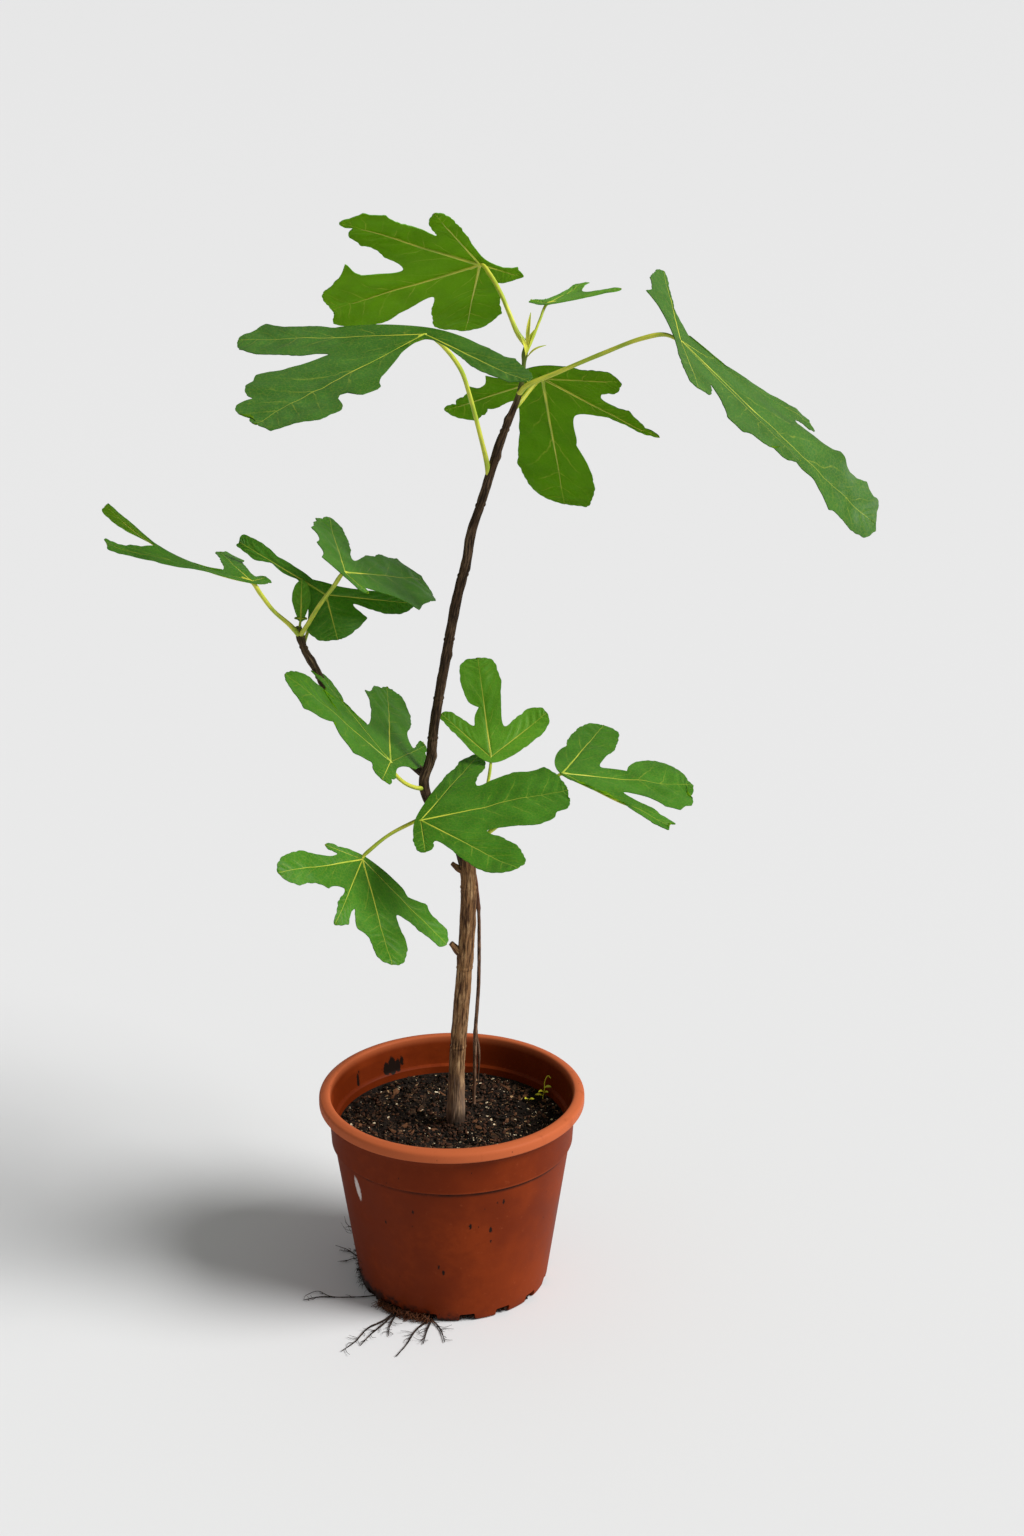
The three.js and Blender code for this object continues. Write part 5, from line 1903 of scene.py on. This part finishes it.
@dataclass
class Foliage:
    """All the leaves of the tree and their skins."""

    leaves: tuple[Leaf, ...] = LEAVES
    vein: Colour = (0.60, 0.62, 0.07)
    pale_vein: Colour = (0.84, 0.84, 0.12)
    deepening: float = 0.78
    brightening: float = 1.3

    def skins(self) -> dict[LeafAge, list[Material]]:
        """Makes the upper, under and stalk skins for each age.

        Returns:
            Three materials for each age.
        """
        stalk = StalkSkin().build()
        made = {}
        for age in LeafAge:
            upper, dapple, under = age.value
            name = age.name.lower()
            deeper = tuple(self.deepening * value for value in under)
            lit = tuple(self.brightening * value for value in under)
            top = LeafSkin(
                f"leaf_upper_{name}", upper, dapple, self.vein, vein_width=0.62, side_strength=0.20,
                roughness=0.46, through=lit, glow=0.20,
            )
            back = LeafSkin(
                f"leaf_under_{name}", under, deeper, self.pale_vein, vein_width=0.95, side_strength=0.34,
                roughness=0.70, through=lit, glow=0.48, shine=0.08,
            )
            made[age] = [top.build(), back.build(), stalk]
        return made

    def build(self) -> None:
        """Models and dresses every leaf."""
        skins = self.skins()
        for leaf in self.leaves:
            leaf.build(skins)


# ---- roots ----


@dataclass(frozen=True)
class DrainRoots:
    """Fine roots that have grown out of one side's drain notches and lie along the ground."""

    side: str
    radius: float
    rootlets: int
    runs: tuple[tuple[Flat, ...], ...]
    rest: float = 1.3
    rootlet_reach: Flat = (4.0, 13.0)
    rootlet_radii: tuple[float, ...] = (0.27, 0.21, 0.12)

    def strand(self, path: Array, radii: Sequence[float], sides: int) -> Piece:
        """Models one root that wanders a little about its line."""
        return Sweep(path, radii, sides, 1.6).build("strand", self.gnarled)

    @staticmethod
    def gnarled(base: Array, unbent: Array, radius: Array) -> Array:
        """Unevenness of a root's skin, from each point's place and the root's radius."""
        swell = np.array([noise.noise(Vector(place / 3.0)) for place in base.reshape(-1, 3)])
        return 0.3 * radius * swell.reshape(radius.shape)

    def build(self, skin: Material, seed: int) -> None:
        """Models and dresses the roots of this side.

        Args:
            skin: the roots' material.
            seed: which random rootlets they have.
        """
        draw = np.random.default_rng(seed)
        strands = []
        for run in self.runs:
            path = np.array([(x, y, self.rest) for x, y in run])
            strands.append(self.strand(path, (self.radius, 0.8 * self.radius, 0.35 * self.radius), 8))
            line = smooth_line(path, False, 8)
            for _ in range(self.rootlets):
                start = line[int(draw.integers(len(line) // 3, len(line) - 2))]
                turn = draw.uniform(-1.3, 1.3) + math.atan2(*(path[-1] - path[0])[[1, 0]])
                reach = draw.uniform(*self.rootlet_reach)
                way = np.array([math.cos(turn), math.sin(turn), 0.0])
                bend = np.array([-way[1], way[0], 0.0]) * draw.uniform(-3.0, 3.0)
                lift = np.array([0.0, 0.0, draw.uniform(-0.9, 2.5)])
                twig = [start, start + way * reach * 0.5 + bend, start + way * reach + lift]
                strands.append(self.strand(np.array(twig), self.rootlet_radii, 5))
        finish(join(strands, f"ground_roots_{self.side}"), [skin], "root", f"drain_roots_{self.side}")


ROOT_FINISH = Bark(
    "root_skin",
    dark=(0.010, 0.006, 0.004), mid=(0.030, 0.016, 0.010), pale=(0.085, 0.045, 0.026),
    foot=(0.030, 0.016, 0.010), foot_heights=(-20.0, -10.0),
    head=(0.030, 0.016, 0.010), head_heights=(500.0, 600.0),
    grain=900.0,
)
MAT_FINISH = Bark(
    "root_mat_skin",
    dark=(0.045, 0.018, 0.009), mid=(0.165, 0.055, 0.022), pale=(0.280, 0.115, 0.050),
    foot=(0.130, 0.050, 0.022), foot_heights=(-20.0, -10.0),
    head=(0.130, 0.050, 0.022), head_heights=(500.0, 600.0),
    grain=900.0,
)


@dataclass
class Tangle:
    """A tuft of short fine rootlets that clings to the pot over a stretch of its wall."""

    name: str
    skin: Material
    angles: Flat
    heights: Flat
    count: int
    reach: Flat
    thickness: float
    droop: float
    seed: int
    lowest: float = 0.5

    def build(self, pot: NurseryPot) -> None:
        """Models and dresses the tuft.

        Args:
            pot: the pot that it clings to.
        """
        draw = np.random.default_rng(self.seed)
        strands = []
        for number in range(self.count):
            turn = math.radians(draw.uniform(*self.angles))
            height = self.heights[0] + (self.heights[1] - self.heights[0]) * draw.uniform(0.0, 1.0) ** 1.5
            reach = draw.uniform(*self.reach)
            out = np.array([math.cos(turn), math.sin(turn), 0.0])
            aside = np.array([-out[1], out[0], 0.0]) * draw.normal(0.0, 0.7) * reach
            foot = out * (pot.body_radius(height) - 0.6) + (0.0, 0.0, height)
            mid = foot + out * reach * 0.55 + aside * 0.4 + (0.0, 0.0, draw.normal(0.3, 1.0))
            tip = foot + out * reach * draw.uniform(0.3, 1.0) + aside - (0.0, 0.0, self.droop * reach)
            line = np.array([foot, mid, tip])
            line[:, 2] = np.maximum(line[:, 2], self.lowest)
            thick = self.thickness * draw.uniform(0.6, 1.2)
            strands.append(Sweep(line, (thick, 0.8 * thick, 0.4 * thick), 5, 1.2).build(f"hair_{number}"))
        finish(join(strands, self.name), [self.skin], "root")


@dataclass
class NotchDirtAndShade:
    """Dark crumbs that pack the drain notches: partly compost washed out of the pot, partly a dark fill that
    stands in for the shade inside the notches.
    """

    pot: NurseryPot
    # Partly painted shade: near-black crumbs fill each notch where shade falls, as well as standing for
    # washed-out compost.
    tone: Compost = Compost("notch_soil_and_shade", (0.006, 0.003, 0.002), (0.040, 0.016, 0.008))
    per_notch: int = 46
    size: Flat = (2.0, 5.2)
    depth: Flat = (1.6, 11.0)
    seed: int = 61

    def build(self) -> None:
        """Models and dresses the crumbs in every notch."""
        draw = np.random.default_rng(self.seed)
        lumps = Lumps(self.seed)
        for notch in range(self.pot.drain_count):
            centre = self.pot.drain_first_angle + 360.0 * notch / self.pot.drain_count
            along, aside = polar(centre, 1.0), polar(centre + 90.0, 1.0)
            for number in range(self.per_notch):
                size = draw.uniform(*self.size)
                away = draw.uniform(-0.5, 0.5) * (self.pot.drain_width - 0.7 * size)
                out = self.pot.base_radius - draw.uniform(*self.depth)
                rise = 0.62 * size + draw.uniform(0.0, 1.0) * (self.pot.drain_height - 1.3 * size)
                turned = Matrix.Rotation(draw.uniform(0.0, 6.28), 3, "Z")
                lumps.add(number, 0.85 * size, turned, (*(along * out + aside * away), rise))
        finish(lumps.gather("notch_dirt_and_shade"), [self.tone.build()], "soil", crease=30.0)


@dataclass
class Roots:
    """Everything that has grown out of the pot's drain notches."""

    pot: NurseryPot
    seed: int = 5
    sides: tuple[DrainRoots, ...] = (
        DrainRoots("front", 1.0, 7, (
            ((-42, -58), (-50, -71), (-61, -86), (-74, -98), (-84, -119), (-95, -134)),
            ((-42, -58), (-49, -70), (-60, -90), (-71, -108), (-79, -125)),
            ((-42, -58), (-48, -70), (-55, -96), (-55, -110)),
        )),
        DrainRoots("middle", 0.95, 7, (
            ((-16, -70), (-19, -84), (-29, -97), (-33, -106), (-39, -125), (-47, -142)),
            ((-16, -70), (-18, -86), (-21, -100), (-24, -123)),
            ((-16, -70), (-17, -84), (-13, -92), (-9, -101), (-5, -120)),
        )),
        DrainRoots("left", 0.6, 3, (
            ((-61, -38), (-74, -45), (-92, -47), (-111, -46), (-124, -37), (-134, -44)),
            ((-107, -47), (-122, -47), (-136, -52)),
        )),
        DrainRoots("side", 0.6, 5, (
            ((-70, 16), (-84, 19), (-94, 27), (-102, 36), (-113, 43)),
            ((-70, 16), (-84, 18), (-93, 20), (-101, 15)),
        )),
    )

    def build(self) -> None:
        """Models and dresses the roots, the root mat and the fuzz on the wall."""
        skin, matted = ROOT_FINISH.build(), MAT_FINISH.build()
        for number, roots in enumerate(self.sides):
            roots.build(skin, self.seed + number)
        for tangle in (
            Tangle("root_mat", matted, (222.0, 258.0), (0.8, 7.0), count=260, reach=(3.0, 11.0),
                   thickness=0.42, droop=0.30, seed=71),
            Tangle("root_fuzz", skin, (176.0, 206.0), (2.0, 34.0), count=120, reach=(2.0, 6.5),
                   thickness=0.22, droop=0.35, seed=83),
            Tangle("root_wisps", skin, (170.0, 186.0), (38.0, 47.0), count=7, reach=(7.0, 17.0),
                   thickness=0.28, droop=-0.2, seed=97),
        ):
            tangle.build(self.pot)


# ---- small growth ----


@dataclass
class Leaflet:
    """A tiny folded leaf or scale: where it starts, where it points and how big it is."""

    foot: Point
    tip: Point
    width: float
    fold: float = 0.35
    rows: int = 10
    columns: int = 6
    thickness: float = 0.35

    def build(self, name: str) -> Piece:
        """Models the leaflet as a net drawn in to a point at both ends, with a little thickness.

        Args:
            name: the object's name.

        Returns:
            The leaflet, unfinished.
        """
        foot, tip = np.array(self.foot, float), np.array(self.tip, float)
        along = tip - foot
        length = float(np.linalg.norm(along))
        along = along / length
        side = np.cross(along, (0.0, -0.35, 1.0))
        side = side / np.linalg.norm(side)
        up = np.cross(side, along)
        s = np.linspace(0.0, 1.0, self.rows + 1)[:, None]
        t = np.linspace(-1.0, 1.0, self.columns + 1)[None]
        width = self.width / 2 * np.sin(np.pi * np.clip(s, 0.02, 0.98)) ** 0.8
        lift = self.fold * width * np.abs(t) + 0.12 * length * np.sin(np.pi * s)
        points = foot + along * (length * s)[..., None] + side * (width * t)[..., None] + up * lift[..., None]
        faces = net_faces(self.rows + 1, self.columns + 1)
        leaflet = from_arrays(name, points.reshape(-1, 3), faces.tolist())
        modify(leaflet, "SOLIDIFY", thickness=self.thickness * MM, offset=0.0)
        return leaflet


@dataclass
class TipBud:
    """The growing tip of the leader: a bud sheath, scales and a small sprout."""

    leaflets: tuple[Leaflet, ...] = (
        Leaflet((65.5, -1.5, 850), (61.0, -4.0, 868), 4.2),
        Leaflet((66.0, 1.5, 851), (73.0, 3.0, 872), 4.0),
        Leaflet((67.0, -1.0, 856), (69.5, -1.0, 886), 3.2, 0.6),
        Leaflet((66.0, -2.0, 849), (82.0, -3.0, 860), 2.6, 0.5),
    )

    def build(self, skin: Material) -> None:
        """Models and dresses the bud.

        Args:
            skin: the stalk skin.
        """
        parts = [leaflet.build(f"scale_{k}") for k, leaflet in enumerate(self.leaflets)]
        finish(join(parts, "tip_bud"), [skin], "leaf", crease=50.0)


@dataclass
class Seedling:
    """A yellow-green weed seedling at the right of the bed."""

    stalk: tuple[Point, ...] = ((83, 52, 152), (84.5, 54, 160), (85, 56, 168), (88, 57, 173), (90.5, 56, 171))
    leaflets: tuple[Leaflet, ...] = (
        Leaflet((84, 53, 156), (88, 47, 161), 3.4),
        Leaflet((84, 53, 158), (79, 46, 162), 3.2),
        Leaflet((84.5, 54, 162), (91, 50, 165), 3.0),
        Leaflet((83, 52, 155), (76, 50, 157), 2.8),
        Leaflet((69, 47, 153), (66, 42, 157), 3.2),
        Leaflet((70, 47, 153), (75, 43, 156), 2.6),
    )

    def build(self) -> None:
        """Models and dresses the seedling."""
        skin = StalkSkin("seedling_skin", (0.90, 0.80, 0.05), (0.55, 0.58, 0.03), 0.6).build()
        parts = [leaflet.build(f"seed_leaf_{k}") for k, leaflet in enumerate(self.leaflets)]
        parts.append(Sweep(self.stalk, (0.5, 0.45, 0.4, 0.5), 8, 1.0).build("seed_stalk"))
        finish(join(parts, "seedling"), [skin], "leaf", crease=50.0)


# ---- studio ----


@dataclass
class Studio:
    """The plain floor, the soft light and the camera."""

    eye: Point = (54.4, -1906.0, 1168.5)
    down: float = 19.42
    lens: float = 55.0
    floor_size: float = 200.0
    sky: float = 0.30
    sun_strength: float = 4.1
    sun_angle: float = 30.0
    sun_turn: Point = (50.0, 0.0, 74.0)
    furthest: float = 400.0

    def build(self) -> None:
        """Lays the floor and sets the lights and the camera."""
        scene = bpy.context.scene
        scene.view_settings.view_transform = "Standard"
        deselect()
        bpy.ops.mesh.primitive_plane_add(size=self.floor_size, location=(0.0, 0.0, 0.0))
        floor = named("studio_floor")
        floor.data.materials.append(PlainFloor().build())
        world = bpy.data.worlds.new("studio_light")
        world.use_nodes = True
        back = world.node_tree.nodes["Background"]
        back.inputs["Color"].default_value = (1.0, 1.0, 1.0, 1.0)
        back.inputs["Strength"].default_value = self.sky
        scene.world = world
        self.lamp()
        eye = Vector(self.eye) * MM
        bpy.ops.object.camera_add(location=eye, rotation=(math.radians(90.0 - self.down), 0.0, 0.0))
        camera = bpy.context.object
        camera.data.lens = self.lens
        camera.data.clip_end = self.furthest
        scene.camera = camera

    def lamp(self) -> None:
        """Hangs the soft distant lamp."""
        rotation = tuple(math.radians(value) for value in self.sun_turn)
        bpy.ops.object.light_add(type="SUN", location=(0.0, 0.0, 3.0), rotation=rotation)
        lamp = bpy.context.object
        lamp.name = "key"
        lamp.data.energy = self.sun_strength
        lamp.data.angle = math.radians(self.sun_angle)


def main() -> None:
    """Builds the studio and the potted fig, piece by piece."""
    logging.basicConfig(level=logging.INFO, format="%(name)s %(message)s")
    Studio().build()
    pot = NurseryPot()
    pot.build()
    CompostBed(pot).build()
    for limb in limbs():
        limb.build()
    Foliage().build()
    NotchDirtAndShade(pot).build()
    Roots(pot).build()
    TipBud().build(bpy.data.materials["stalk_skin"])
    Seedling().build()
    deselect()
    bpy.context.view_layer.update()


if __name__ == "__main__":
    main()
